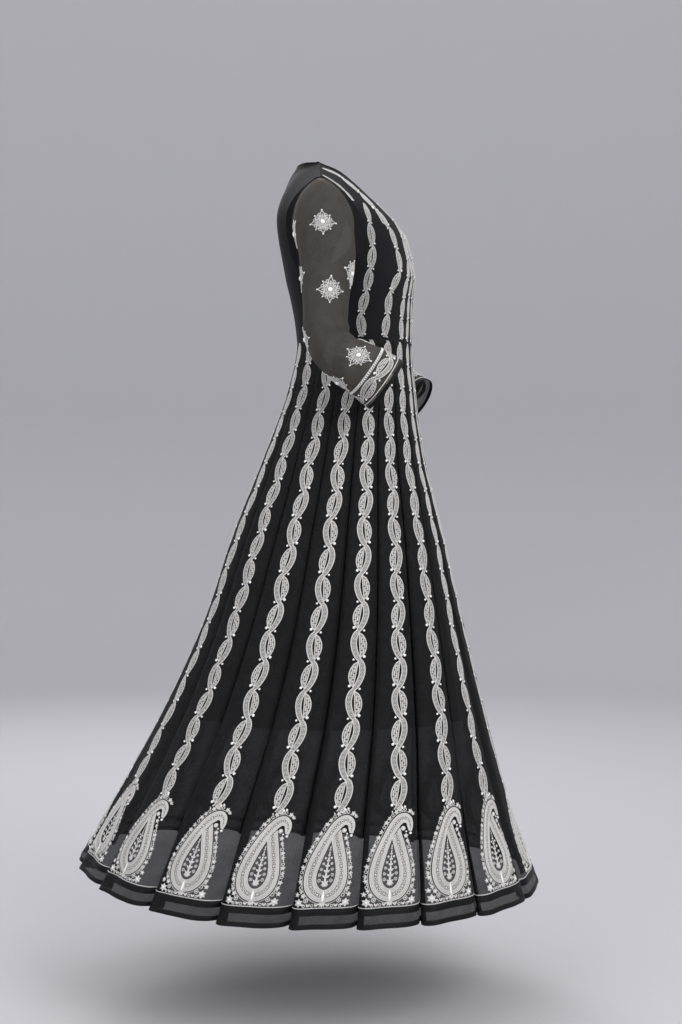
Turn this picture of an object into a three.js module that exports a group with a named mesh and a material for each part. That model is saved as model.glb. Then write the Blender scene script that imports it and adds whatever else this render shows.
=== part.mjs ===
// Anarkali gown in its worn, hollow form: a fitted bodice with a round neck, three-quarter
// sleeves with cuffs, a skirt of twenty flared kalis, and a shorter opaque underskirt.
// Millimetres, +Z up. The front faces -Y and the wearer's left is +X. The origin is on the
// shoulder line, midway between the two neck points, where the shoulders hold the gown up.
//
// Round the body a place is counted in kalis: 0 at the centre front, 5 at the right side,
// 10 at the centre back, and negative numbers mirror that on the left.
import * as THREE from "three";

// ---------------------------------------------------------------- driving sizes
const SEAM_GAP = 0.3;
const SKIRT_WALL = 1.2;
const BODICE_WALL = 1.5;
const SLEEVE_WALL = 1.2;
const CUFF_WALL = 1.5;
const BINDING_WALL = 1.0;
const BINDING_WIDTH = 4;
const CUFF_LENGTH = 42;
const WAIST_Z = -305;
const HEM_Z = -1236;
const LINING_HEM_Z = -945;

const HALF_RING = 10;           // kalis from the centre front to the centre back
const SIDE_SEAM = 5;            // place of the side seam, in kalis
const FRONT_NECK_END = 2.75;    // neck point of the shoulder seam, on the front
const FRONT_SHOULDER_END = 4.4; // sleeve end of the shoulder seam, on the front

// The ring of the body at each height: how far it reaches to the front and the back, half
// its width, how square its oval is, how deep the folds at the seams are, how much the ring
// is lifted at the centre back, where the skirt is swept out, and how far round the ring, in
// kalis, the skirt's seams have drifted towards the back.
const BODY_LEVELS = [
  { z: -180, front: -153, back: 72, half: 140, square: 2.3, fold: 0, lift: 0, drift: 0 },
  { z: -222, front: -149, back: 62, half: 130, square: 2.35, fold: 0, lift: 0, drift: 0 },
  { z: -262, front: -147, back: 54, half: 122, square: 2.4, fold: 0, lift: 0, drift: 0 },
  { z: WAIST_Z, front: -147, back: 49, half: 117, square: 2.4, fold: 0, lift: 0, drift: -0.3 },
  { z: -391, front: -153, back: 66, half: 129, square: 2.4, fold: 2, lift: 0, drift: -0.39 },
  { z: -487, front: -166, back: 101, half: 150, square: 2.4, fold: 6, lift: 0, drift: -0.38 },
  { z: -645, front: -204, back: 163, half: 188, square: 2.4, fold: 11, lift: 4, drift: -0.25 },
  { z: -786, front: -236, back: 208, half: 228, square: 2.35, fold: 15, lift: 9, drift: -0.11 },
  { z: -925, front: -270, back: 266, half: 268, square: 2.3, fold: 18, lift: 16, drift: 0 },
  { z: -1075, front: -310, back: 343, half: 312, square: 2.25, fold: 21, lift: 26, drift: 0.13 },
  { z: HEM_Z, front: -368, back: 432, half: 352, square: 2.15, fold: 24, lift: 38, drift: 0.27 },
];
// How slowly the drift grows from the centre front and back to the sides.
const DRIFT_SPREAD = 0.15;
const KALI_ROWS = [WAIST_Z, -391, -487, -645, -786, -925, -1075, HEM_Z];
const LINING_ROWS = [WAIST_Z, -391, -487, -645, -786, LINING_HEM_Z];

// Width of each kali, centre front to centre back, in shares of an even one. The front ones
// hang closer and the swept back ones spread.
const KALI_SHARE = [1.25, 1.1, 0.925, 0.9, 0.9, 1.0, 1.075, 1.1, 1.025, 0.9, 0.9];
// How deep the fold at each seam is against the mean, from the front seam to the back one.
const FOLD_SHARE = [1.0, 0.85, 1.1, 0.95, 1.15, 1.0, 1.2, 0.9, 1.05, 0.85];
// A kali across its width, from its crest edge, which turns in sharply as a knife fold, to its
// soft edge, which runs in under the next kali. The crest is the edge nearer the back, so the
// side kalis use the table turned about.
const KALI_SECTION = [
  { across: -1, depth: 1 },
  { across: -0.91, depth: 0.2 },
  { across: -0.75, depth: 0 },
  { across: -0.2, depth: 0 },
  { across: 0.4, depth: 0.02 },
  { across: 0.76, depth: 0.22 },
  { across: 0.92, depth: 0.62 },
  { across: 1, depth: 1 },
];

// The neckline, from the centre front past the neck point to the centre back.
const NECK_FRONT = [
  { at: 0, x: 0, y: -88, z: -61 },
  { at: 0.9, x: -33, y: -79, z: -52 },
  { at: 1.7, x: -58, y: -58, z: -33 },
  { at: 2.3, x: -72, y: -33, z: -14 },
  { at: FRONT_NECK_END, x: -78, y: 0, z: 0 },
];
const NECK_BACK = [
  { at: HALF_RING - FRONT_NECK_END, x: -78, y: 0, z: 0 },
  { at: 7.8, x: -73, y: 23, z: 1 },
  { at: 8.5, x: -56, y: 41, z: 1 },
  { at: 9.3, x: -30, y: 50, z: -2 },
  { at: HALF_RING, x: 0, y: 53, z: -4 },
];
// Where the chest and the shoulder blades stand fullest above the underarm.
const YOKE_FRONT = [
  { at: 0, x: 0, y: -134, z: -112 },
  { at: 1.2, x: -50, y: -132, z: -112 },
  { at: FRONT_NECK_END, x: -102, y: -113, z: -106 },
  { at: FRONT_SHOULDER_END, x: -143, y: -82, z: -104 },
];
const YOKE_BACK = [
  { at: HALF_RING - FRONT_SHOULDER_END, x: -147, y: 42, z: -98 },
  { at: HALF_RING - FRONT_NECK_END, x: -104, y: 67, z: -88 },
  { at: 8.7, x: -52, y: 76, z: -88 },
  { at: HALF_RING, x: 0, y: 78, z: -88 },
];
// Where the cloth rounds over to the neckline and the shoulder seam.
const ROUND_FRONT = [
  { at: 0, x: 0, y: -112, z: -87 },
  { at: 1.2, x: -45, y: -101, z: -73 },
  { at: FRONT_NECK_END, x: -90, y: -50, z: -33 },
  { at: FRONT_SHOULDER_END, x: -157, y: -48, z: -62 },
];
const ROUND_BACK = [
  { at: HALF_RING - FRONT_SHOULDER_END, x: -158, y: 10, z: -56 },
  { at: HALF_RING - FRONT_NECK_END, x: -88, y: 34, z: -18 },
  { at: 8.7, x: -48, y: 60, z: -24 },
  { at: HALF_RING, x: 0, y: 67, z: -34 },
];
// A bodice piece widens up to the underarm, so that its columns fan out beside the armhole:
// the place round the body where the column of each waist place stands at each height.
const FAN_FRONT = [
  { at: 0, to: 0 },
  { at: FRONT_NECK_END, to: 2.4 },
  { at: FRONT_SHOULDER_END, to: 3.75 },
  { at: 4.7, to: 4.1 },
  { at: 4.85, to: 4.45 },
  { at: SIDE_SEAM, to: SIDE_SEAM },
];
const FAN_BACK = [
  { at: SIDE_SEAM, to: SIDE_SEAM },
  { at: 5.15, to: 6.0 },
  { at: 5.3, to: 6.45 },
  { at: HALF_RING - FRONT_SHOULDER_END, to: 7.1 },
  { at: HALF_RING - FRONT_NECK_END, to: 7.9 },
  { at: HALF_RING, to: HALF_RING },
];
const FAN_HEIGHTS = [
  { z: WAIST_Z + SEAM_GAP, share: 0 },
  { z: -262, share: 0.15 },
  { z: -222, share: 0.5 },
  { z: -190, share: 0.9 },
];
// The armhole, from the shoulder point down the back, under the arm and up the front.
const ARMHOLE = [
  { x: -165, y: -18, z: -43 },
  { x: -165, y: 16, z: -72 },
  { x: -159, y: 29, z: -120 },
  { x: -150, y: 6, z: -166 },
  { x: -143, y: -36, z: -184 },
  { x: -150, y: -66, z: -160 },
  { x: -158, y: -74, z: -114 },
  { x: -165, y: -54, z: -70 },
];
// The right sleeve: the middle of each ring, the way it faces, and its half sizes across the
// arm from front to back and from outside to inside.
const SLEEVE_RINGS = [
  { x: -173, y: -25, z: -124, ax: -0.964, ay: 0, az: -0.264, deep: 51, wide: 64 },
  { x: -187, y: -30, z: -145, ax: -0.867, ay: 0, az: -0.498, deep: 50, wide: 54 },
  { x: -196.5, y: -36, z: -178, ax: -0.63, ay: 0, az: -0.776, deep: 47, wide: 44.5 },
  { x: -202, y: -36, z: -218, ax: -0.335, ay: 0, az: -0.942, deep: 41, wide: 40 },
  { x: -210, y: -36, z: -265, ax: -0.08, ay: -0.02, az: -0.997, deep: 36, wide: 38 },
  { x: -216, y: -38, z: -300, ax: 0.02, ay: -0.15, az: -0.99, deep: 36, wide: 37.5 },
  { x: -217, y: -48, z: -330, ax: 0.12, ay: -0.46, az: -0.88, deep: 38, wide: 38 },
  { x: -211, y: -70, z: -349, ax: 0.25, ay: -0.7, az: -0.67, deep: 41, wide: 39.5 },
  { x: -201, y: -99, z: -366, ax: 0.3, ay: -0.77, az: -0.56, deep: 43.5, wide: 41 },
];
const CUFF_FLARE = 1.08;

// ---------------------------------------------------------------- small helpers
const vec = ({ x, y, z }) => new THREE.Vector3(x, y, z);
const mirrorX = (p) => new THREE.Vector3(-p.x, p.y, p.z);
const lerp = THREE.MathUtils.lerp;

/** A point at place `at` on a smooth curve through the rows of a table. */
function alongTable(rows, at) {
  const curve = new THREE.CatmullRomCurve3(rows.map(vec));
  let i = 0;
  while (i < rows.length - 2 && at > rows[i + 1].at) i += 1;
  const part = (at - rows[i].at) / (rows[i + 1].at - rows[i].at);
  return curve.getPoint(THREE.MathUtils.clamp((i + part) / (rows.length - 1), 0, 1));
}

/** A point on the closed outline through the armhole's rows, with straight sides. */
function armholePoint(share) {
  const place = (((share % 1) + 1) % 1) * ARMHOLE.length;
  const i = Math.floor(place);
  const next = (i + 1) % ARMHOLE.length;
  return vec(ARMHOLE[i]).lerp(vec(ARMHOLE[next]), place - i);
}

// ---------------------------------------------------------------- the body's rings
/** The sizes of the body's ring at height z, between the two nearest rows. */
function levelAt(z) {
  let i = 0;
  while (i < BODY_LEVELS.length - 2 && z < BODY_LEVELS[i + 1].z) i += 1;
  const above = BODY_LEVELS[i];
  const below = BODY_LEVELS[i + 1];
  const part = (z - above.z) / (below.z - above.z);
  const level = {};
  for (const key of Object.keys(above)) level[key] = lerp(above[key], below[key], part);
  return level;
}

const RING_STEPS = 240;
const ringCache = new Map();

/** Half of the ring at height z as points, from the centre front round to the centre back. */
function halfRing(z) {
  if (ringCache.has(z)) return ringCache.get(z);
  const level = levelAt(z);
  const middle = (level.front + level.back) / 2;
  const depth = (level.back - level.front) / 2;
  const power = 2 / level.square;
  const points = [];
  for (let i = 0; i <= RING_STEPS; i += 1) {
    const angle = (Math.PI * i) / RING_STEPS;
    const along = Math.sign(Math.cos(angle)) * Math.abs(Math.cos(angle)) ** power;
    const side = Math.abs(Math.sin(angle)) ** power;
    points.push(new THREE.Vector2(-level.half * side, middle - depth * along));
  }
  const lengths = [0];
  for (let i = 1; i < points.length; i += 1) {
    lengths.push(lengths[i - 1] + points[i].distanceTo(points[i - 1]));
  }
  const inward = points.map((_, i) => {
    const along = points[Math.min(i + 1, RING_STEPS)].clone().sub(points[Math.max(i - 1, 0)]);
    return new THREE.Vector2(along.y, -along.x).normalize();
  });
  inward[0].set(0, 1);
  inward[RING_STEPS].set(0, -1);
  const ring = { points, inward, lengths, level, middle, depth, total: lengths[RING_STEPS] };
  ringCache.set(z, ring);
  return ring;
}

/** A point of the ring at height z, `inward` millimetres inside it; place 0 to 10. */
function ringPoint(z, place, inward = 0) {
  const ring = halfRing(z);
  const folded = Math.abs(place) > HALF_RING ? 2 * HALF_RING - Math.abs(place) : Math.abs(place);
  const side = Math.abs(place) > HALF_RING ? -Math.sign(place) : Math.sign(place) || 1;
  const target = (folded / HALF_RING) * ring.total;
  let i = 0;
  while (i < RING_STEPS - 1 && ring.lengths[i + 1] < target) i += 1;
  const part = (target - ring.lengths[i]) / (ring.lengths[i + 1] - ring.lengths[i]);
  const spot = ring.points[i].clone().lerp(ring.points[i + 1], part);
  const toMiddle = ring.inward[i].clone().lerp(ring.inward[i + 1], part).normalize();
  spot.addScaledVector(toMiddle, inward);
  const behind = Math.max(0, (spot.y - ring.middle) / ring.depth);
  return new THREE.Vector3(side * spot.x, spot.y, z + ring.level.lift * behind ** 2);
}

// ---------------------------------------------------------------- cloth walls
/** Unit normals of a grid of points. Rows run down and columns run clockwise from above. */
function gridNormals(grid, closed) {
  const rows = grid.length;
  const cols = grid[0].length;
  const faces = [];
  const faceCols = closed ? cols : cols - 1;
  for (let r = 0; r < rows - 1; r += 1) {
    faces.push([]);
    for (let c = 0; c < faceCols; c += 1) {
      const across = grid[r + 1][(c + 1) % cols].clone().sub(grid[r][c]);
      const other = grid[r + 1][c].clone().sub(grid[r][(c + 1) % cols]);
      faces[r].push(across.cross(other).normalize());
    }
  }
  return grid.map((row, r) => row.map((_, c) => {
    const near = [];
    for (const fr of [r - 1, r]) {
      for (const fc of [c - 1, c]) {
        const wrapped = closed ? (fc + cols) % cols : fc;
        if (faces[fr] && faces[fr][wrapped]) near.push(faces[fr][wrapped]);
      }
    }
    const mean = near.reduce((sum, n) => sum.add(n), new THREE.Vector3()).normalize();
    const slant = near.reduce((sum, n) => sum + n.dot(mean), 0) / near.length;
    return mean.divideScalar(Math.max(slant, 0.6));
  }));
}

/**
 * A closed cloth wall on a grid of points, which is its outer face, with the inner face
 * `inside` within it. `settle` may turn the normal of a point on a seam, so that the wall's
 * edge keeps clear of the piece on the other side.
 */
function clothWall(grid, { inside, closed = false, settle = () => {} }) {
  const rows = grid.length;
  const cols = grid[0].length;
  const normals = gridNormals(grid, closed);
  const vertices = [];
  for (const depth of [0, inside]) {
    for (let r = 0; r < rows; r += 1) {
      for (let c = 0; c < cols; c += 1) {
        const normal = normals[r][c].clone();
        settle(normal, r, c);
        vertices.push(grid[r][c].clone().addScaledVector(normal, -depth));
      }
    }
  }
  const outer = (r, c) => r * cols + (c % cols);
  const inner = (r, c) => rows * cols + r * cols + (c % cols);
  const index = [];
  const quad = (a, b, c, d) => index.push(a, b, c, a, c, d);
  const lastCol = closed ? cols : cols - 1;
  for (let r = 0; r < rows - 1; r += 1) {
    for (let c = 0; c < lastCol; c += 1) {
      quad(outer(r, c), outer(r, c + 1), outer(r + 1, c + 1), outer(r + 1, c));
      quad(inner(r, c), inner(r + 1, c), inner(r + 1, c + 1), inner(r, c + 1));
    }
  }
  for (let c = 0; c < lastCol; c += 1) {
    quad(outer(0, c), inner(0, c), inner(0, c + 1), outer(0, c + 1));
    quad(outer(rows - 1, c), outer(rows - 1, c + 1), inner(rows - 1, c + 1), inner(rows - 1, c));
  }
  if (!closed) {
    for (let r = 0; r < rows - 1; r += 1) {
      quad(outer(r, 0), outer(r + 1, 0), inner(r + 1, 0), inner(r, 0));
      quad(outer(r, cols - 1), inner(r, cols - 1), inner(r + 1, cols - 1), outer(r + 1, cols - 1));
    }
  }
  const geometry = new THREE.BufferGeometry();
  geometry.setAttribute("position",
    new THREE.Float32BufferAttribute(vertices.flatMap((v) => [v.x, v.y, v.z]), 3));
  geometry.setIndex(index);
  geometry.computeVertexNormals();
  return geometry;
}

/** The same geometry on the wearer's other side. */
function mirrored(geometry) {
  const copy = geometry.clone();
  copy.scale(-1, 1, 1);
  const index = Array.from(copy.index.array);
  for (let i = 0; i < index.length; i += 3) [index[i + 1], index[i + 2]] = [index[i + 2], index[i + 1]];
  copy.setIndex(index);
  copy.computeVertexNormals();
  return copy;
}

// ---------------------------------------------------------------- skirt
/** Places of the seams on one side, between kali k and kali k + 1. */
const KALI_SEAMS = [KALI_SHARE[0] / 2];
for (let k = 1; k < HALF_RING; k += 1) KALI_SEAMS.push(KALI_SEAMS[k - 1] + KALI_SHARE[k]);

/** Where a seam of the skirt stands at height z: it drifts most at the wearer's sides. */
function driftedPlace(z, place) {
  const turn = Math.sin((Math.PI * place) / HALF_RING);
  return place + levelAt(z).drift * (turn / Math.sqrt(turn ** 2 + DRIFT_SPREAD));
}

/**
 * The wall of one kali between two places. `fromFold` and `toFold` are the shares of the
 * folds at its two edges. The kali of the centre front has two crest edges and that of the
 * centre back has two soft ones, because the folds on the two sides mirror each other.
 */
function kaliWall(from, to, fromFold, toFold, section) {
  const grid = KALI_ROWS.map((z) => {
    const { level, total } = halfRing(z);
    const gap = (SEAM_GAP / 2) * (HALF_RING / total);
    return section.map(({ across, depth }) => {
      const place = lerp(from + gap, to - gap, (across + 1) / 2);
      const share = across < 0 ? fromFold : toFold;
      return ringPoint(z, driftedPlace(z, place), depth * share * level.fold);
    });
  });
  return clothWall(grid, { inside: SKIRT_WALL });
}

const crestHalf = KALI_SECTION.filter(({ across }) => across < 0);
const softHalf = KALI_SECTION.filter(({ across }) => across > 0);
const turned = (rows) => rows.map(({ across, depth }) => ({ across: -across, depth })).reverse();
const sideSection = turned(KALI_SECTION);
const frontSection = [...crestHalf, ...turned(crestHalf)];
const backSection = [...turned(softHalf), ...softHalf];

function addSkirt(gown, cloth) {
  const [firstSeam] = KALI_SEAMS;
  const lastSeam = KALI_SEAMS[HALF_RING - 1];
  const lastFold = FOLD_SHARE[HALF_RING - 1];
  const front = kaliWall(-firstSeam, firstSeam, FOLD_SHARE[0], FOLD_SHARE[0], frontSection);
  addPiece(gown, "kali_front", front, cloth);
  for (let k = 1; k < HALF_RING; k += 1) {
    const [from, to] = [KALI_SEAMS[k - 1], KALI_SEAMS[k]];
    const right = kaliWall(from, to, FOLD_SHARE[k - 1], FOLD_SHARE[k], sideSection);
    addPiece(gown, `kali_right_${k}`, right, cloth);
    addPiece(gown, `kali_left_${k}`, mirrored(right), cloth);
  }
  const end = 2 * HALF_RING - lastSeam;
  addPiece(gown, "kali_back", kaliWall(lastSeam, end, lastFold, lastFold, backSection), cloth);
}

// ---------------------------------------------------------------- underskirt
const LINING_COLUMNS = 14;

/** The underskirt hangs just inside the deepest folds of the kalis. */
function liningWall(from, to) {
  const grid = LINING_ROWS.map((z) => {
    const { level, total } = halfRing(z);
    const gap = (SEAM_GAP / 2) * (HALF_RING / total);
    const inset = SKIRT_WALL + 2 * SEAM_GAP + 1.26 * level.fold;
    return Array.from({ length: LINING_COLUMNS + 1 }, (_, c) => (
      ringPoint(z, lerp(from + gap, to - gap, c / LINING_COLUMNS), inset)));
  });
  return clothWall(grid, { inside: SKIRT_WALL });
}

// ---------------------------------------------------------------- bodice
// Rows of a bodice piece, as shares of the way down from its top edge.
const BODICE_ROWS = [0, 0.05, 0.11, 0.19, 0.3, 0.42, 0.56, 0.7, 0.85, 1];
const NECK_COLUMNS = 5;
const SHOULDER_COLUMNS = 3;
const ARMHOLE_COLUMNS = 4;

/** The top edge of the bodice at a place: neckline, shoulder seam or armhole. */
function topEdge(place) {
  const onBack = place > SIDE_SEAM;
  const fromMiddle = onBack ? HALF_RING - place : place;
  if (fromMiddle <= FRONT_NECK_END) return alongTable(onBack ? NECK_BACK : NECK_FRONT, place);
  const neckPoint = vec(NECK_FRONT[NECK_FRONT.length - 1]);
  const shoulder = (fromMiddle - FRONT_NECK_END) / (FRONT_SHOULDER_END - FRONT_NECK_END);
  if (shoulder <= 1) return neckPoint.lerp(vec(ARMHOLE[0]), shoulder);
  const down = (fromMiddle - FRONT_SHOULDER_END) / (SIDE_SEAM - FRONT_SHOULDER_END) / 2;
  return armholePoint(onBack ? down : 1 - down);
}

/** Where the column of a waist place stands round the body at the underarm's height. */
function fanPlace(rows, place) {
  let i = 0;
  while (i < rows.length - 2 && place > rows[i + 1].at) i += 1;
  return lerp(rows[i].to, rows[i + 1].to, (place - rows[i].at) / (rows[i + 1].at - rows[i].at));
}

/** The curve of the bodice up from the waist seam to its top edge, at a place. */
function bodiceColumn(place) {
  const top = topEdge(place);
  const onBack = place > SIDE_SEAM;
  const fromMiddle = onBack ? HALF_RING - place : place;
  const fanned = fanPlace(onBack ? FAN_BACK : FAN_FRONT, place);
  const points = [];
  for (const { z, share } of FAN_HEIGHTS) {
    if (z < top.z - 5) points.push(ringPoint(z, lerp(place, fanned, share)));
  }
  if (fromMiddle <= FRONT_SHOULDER_END) {
    points.push(alongTable(onBack ? YOKE_BACK : YOKE_FRONT, place));
    points.push(alongTable(onBack ? ROUND_BACK : ROUND_FRONT, place));
  }
  points.push(top);
  return new THREE.CatmullRomCurve3(points);
}

/** Places across half of a bodice piece, from its middle to the side seam. */
function bodicePlaces() {
  const places = [];
  const spread = (from, to, count) => {
    for (let i = 0; i < count; i += 1) places.push(lerp(from, to, i / count));
  };
  spread(0, FRONT_NECK_END, NECK_COLUMNS);
  spread(FRONT_NECK_END, FRONT_SHOULDER_END, SHOULDER_COLUMNS);
  spread(FRONT_SHOULDER_END, SIDE_SEAM, ARMHOLE_COLUMNS);
  places.push(SIDE_SEAM);
  return places;
}

/** A bodice piece, front or back, with the half seam gap taken off at shoulders and sides. */
function bodiceWall(onBack) {
  const half = bodicePlaces();
  const toSeam = (onBack ? 1 : -1) * (SEAM_GAP / 2);
  const columns = half.map((place) => {
    const curve = bodiceColumn(onBack ? HALF_RING - place : place);
    return BODICE_ROWS.map((down, r) => {
      const point = curve.getPointAt(1 - down);
      const onSeam = place === SIDE_SEAM || (r === 0 && place >= FRONT_NECK_END);
      if (onSeam) point.y += toSeam;
      return point;
    });
  });
  const far = columns.slice(1).map((column) => column.map(mirrorX));
  const ordered = onBack ? [...columns.reverse(), ...far] : [...far.reverse(), ...columns];
  const places = [...half.slice(1).reverse(), ...half];
  const grid = BODICE_ROWS.map((_, r) => ordered.map((column) => column[r]));
  const settle = (normal, r, c) => {
    const onShoulder = r === 0 && places[c] >= FRONT_NECK_END && places[c] <= FRONT_SHOULDER_END;
    const onArmhole = r === 0 && places[c] >= FRONT_SHOULDER_END;
    const outward = Math.sign(grid[r][c].x);
    if (onShoulder || places[c] === SIDE_SEAM) normal.setY(0).normalize();
    if (onArmhole && normal.x * outward < 0) normal.setX(0).normalize();
  };
  return clothWall(grid, { inside: BODICE_WALL, settle });
}

/** The way a bodice column runs where it reaches the top edge. */
const edgeDirection = (place) => bodiceColumn(place).getTangentAt(1);

/** The narrow binding that finishes the neckline, standing on its edge all round. */
function neckBindingWall() {
  const columns = [];
  const steps = 2 * NECK_COLUMNS;
  for (let i = 0; i <= steps; i += 1) {
    const front = i <= NECK_COLUMNS;
    const place = front ? (i / NECK_COLUMNS) * FRONT_NECK_END
      : HALF_RING - ((steps - i) / NECK_COLUMNS) * FRONT_NECK_END;
    const upward = edgeDirection(place);
    if (i === NECK_COLUMNS) upward.add(edgeDirection(HALF_RING - FRONT_NECK_END));
    const edge = topEdge(place);
    upward.normalize();
    columns.push([SEAM_GAP + BINDING_WIDTH, SEAM_GAP].map((rise) => (
      edge.clone().addScaledVector(upward, rise))));
  }
  const left = columns.slice(1, -1).reverse().map((column) => column.map(mirrorX));
  const ring = [...columns, ...left];
  const grid = [0, 1].map((r) => ring.map((column) => column[r]));
  return clothWall(grid, { inside: BINDING_WALL, closed: true });
}

// ---------------------------------------------------------------- sleeves
const SLEEVE_COLUMNS = 16;

/** A ring of the sleeve, clockwise seen along the arm from the shoulder. */
function sleeveRing({ x, y, z, ax, ay, az, deep, wide }) {
  const axis = new THREE.Vector3(ax, ay, az).normalize();
  const outward = new THREE.Vector3(-1, 0, 0);
  outward.addScaledVector(axis, -outward.dot(axis)).normalize();
  const forward = outward.clone().cross(axis);
  return Array.from({ length: SLEEVE_COLUMNS }, (_, i) => {
    const angle = (-2 * Math.PI * i) / SLEEVE_COLUMNS;
    return new THREE.Vector3(x, y, z)
      .addScaledVector(outward, wide * Math.cos(angle))
      .addScaledVector(forward, deep * Math.sin(angle));
  });
}

function sleeveWall() {
  const armhole = Array.from({ length: SLEEVE_COLUMNS }, (_, i) => {
    const point = armholePoint(i / SLEEVE_COLUMNS);
    point.x -= SEAM_GAP;
    return point;
  });
  const settle = (normal, r) => {
    if (r === 0 && normal.x < 0) normal.setX(0).normalize();
  };
  const grid = [armhole, ...SLEEVE_RINGS.map(sleeveRing)];
  return clothWall(grid, { inside: SLEEVE_WALL, closed: true, settle });
}

/** The cuff continues the last sleeve ring and flares a little to its open edge. */
function cuffWall() {
  const seam = SLEEVE_RINGS[SLEEVE_RINGS.length - 1];
  const axis = new THREE.Vector3(seam.ax, seam.ay, seam.az).normalize();
  const grid = [0, 0.5, 1].map((part) => {
    const along = SEAM_GAP + part * CUFF_LENGTH;
    const flare = lerp(1, CUFF_FLARE, part);
    return sleeveRing({
      ...seam,
      x: seam.x + axis.x * along,
      y: seam.y + axis.y * along,
      z: seam.z + axis.z * along,
      deep: seam.deep * flare,
      wide: seam.wide * flare,
    });
  });
  return clothWall(grid, { inside: CUFF_WALL, closed: true });
}

// ---------------------------------------------------------------- the gown
function addPiece(group, name, geometry, { color, roughness }) {
  const material = new THREE.MeshStandardMaterial({ color, roughness, metalness: 0 });
  const mesh = new THREE.Mesh(geometry, material);
  mesh.name = name;
  group.add(mesh);
}

const sheerBlack = { color: 0x1c1d20, roughness: 0.7 };
const plainBlack = { color: 0x101114, roughness: 0.8 };
const embroidered = { color: 0x8f8c88, roughness: 0.75 };

const gown = new THREE.Group();
addPiece(gown, "bodice_front", bodiceWall(false), plainBlack);
addPiece(gown, "bodice_back", bodiceWall(true), plainBlack);
addPiece(gown, "neck_binding", neckBindingWall(), plainBlack);
addPiece(gown, "sleeve_right", sleeveWall(), sheerBlack);
addPiece(gown, "sleeve_left", mirrored(sleeveWall()), sheerBlack);
addPiece(gown, "cuff_right", cuffWall(), embroidered);
addPiece(gown, "cuff_left", mirrored(cuffWall()), embroidered);
addPiece(gown, "lining_front", liningWall(-SIDE_SEAM, SIDE_SEAM), plainBlack);
addPiece(gown, "lining_back", liningWall(SIDE_SEAM, 2 * HALF_RING - SIDE_SEAM), plainBlack);
addSkirt(gown, sheerBlack);

export default gown;
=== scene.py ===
# %% [markdown]
# # An anarkali gown with thread work
#
# This lesson dresses a plain set of solids as a long black gown: a fitted bodice, sheer
# sleeves, and a skirt of twenty flared panels, called kalis, each with an embroidered vine
# that ends in a large paisley. The solids come first, because they fix every size.
# Everything made here is measured in metres in their frame: the front faces -Y, the
# wearer's left is +X, and the origin is on the shoulder line.

import math

import bpy
import numpy as np
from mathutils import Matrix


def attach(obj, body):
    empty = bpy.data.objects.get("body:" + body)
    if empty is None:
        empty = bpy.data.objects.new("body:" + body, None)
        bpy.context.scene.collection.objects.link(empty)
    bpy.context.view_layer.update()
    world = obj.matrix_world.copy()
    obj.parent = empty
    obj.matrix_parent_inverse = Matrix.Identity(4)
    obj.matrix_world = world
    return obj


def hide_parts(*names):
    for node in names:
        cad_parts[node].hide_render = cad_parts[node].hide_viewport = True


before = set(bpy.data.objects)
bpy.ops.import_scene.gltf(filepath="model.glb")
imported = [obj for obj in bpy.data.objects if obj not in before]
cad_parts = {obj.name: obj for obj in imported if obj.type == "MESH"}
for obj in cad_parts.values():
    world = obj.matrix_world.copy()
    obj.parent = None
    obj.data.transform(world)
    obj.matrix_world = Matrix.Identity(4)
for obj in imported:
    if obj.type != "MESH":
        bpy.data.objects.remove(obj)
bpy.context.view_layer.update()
MM = 0.001

# %% [markdown]
# The camera stands level with the hips, on the wearer's right and a little to the front,
# far enough back to see the gown from neck to hem without much perspective. Making it
# first means that every later piece can be judged from the same place.

# %% Camera
CAMERA_AT = (-2.659, -0.493, -0.596)
CAMERA_TURN = 80
camera_data = bpy.data.cameras.new("camera")
camera_data.lens = 54.06
camera_data.sensor_width = 36
camera = bpy.data.objects.new("camera", camera_data)
camera.location = CAMERA_AT
camera.rotation_euler = (math.radians(90), 0, math.radians(-CAMERA_TURN))
bpy.context.scene.collection.objects.link(camera)
bpy.context.scene.camera = camera
print("camera:", CAMERA_AT, "lens", camera_data.lens)

# %% [markdown]
# Cloth on a wide pale sweep, with large lamps, reads as it does in a studio: no hard
# shadow crosses the folds, and the sheer parts show light coming through them. The sweep
# is one profile turned round the gown, so the floor runs up into the wall with no line.


# %% Mesh helpers
def add_object(name, verts, faces, materials=(), uvs=None, face_materials=None, smooth=True):
    """One mesh object from arrays: verts (n, 3), a list of face arrays, and a UV per vertex."""
    mesh = bpy.data.meshes.new(name)
    flat, starts, totals = [], [], []
    at = 0
    for block in faces:
        block = np.asarray(block, dtype=np.int32)
        if not len(block):
            continue
        flat.append(block.ravel())
        starts.append(at + np.arange(len(block)) * block.shape[1])
        totals.append(np.full(len(block), block.shape[1]))
        at += block.size
    flat = np.concatenate(flat)
    starts, totals = np.concatenate(starts), np.concatenate(totals)
    mesh.vertices.add(len(verts))
    mesh.vertices.foreach_set("co", np.asarray(verts, dtype=np.float32).ravel())
    mesh.loops.add(len(flat))
    mesh.loops.foreach_set("vertex_index", flat)
    mesh.polygons.add(len(starts))
    mesh.polygons.foreach_set("loop_start", starts.astype(np.int32))
    mesh.polygons.foreach_set("loop_total", totals.astype(np.int32))
    if face_materials is not None:
        mesh.polygons.foreach_set("material_index", np.asarray(face_materials, dtype=np.int32))
    mesh.update(calc_edges=True)
    if smooth:
        mesh.polygons.foreach_set("use_smooth", np.ones(len(starts), dtype=bool))
    if uvs is not None:
        layer = mesh.uv_layers.new(name="cloth")
        layer.data.foreach_set("uv", np.asarray(uvs, dtype=np.float32)[flat].ravel())
    for material in materials:
        mesh.materials.append(material)
    obj = bpy.data.objects.new(name, mesh)
    bpy.context.scene.collection.objects.link(obj)
    return obj


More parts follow.
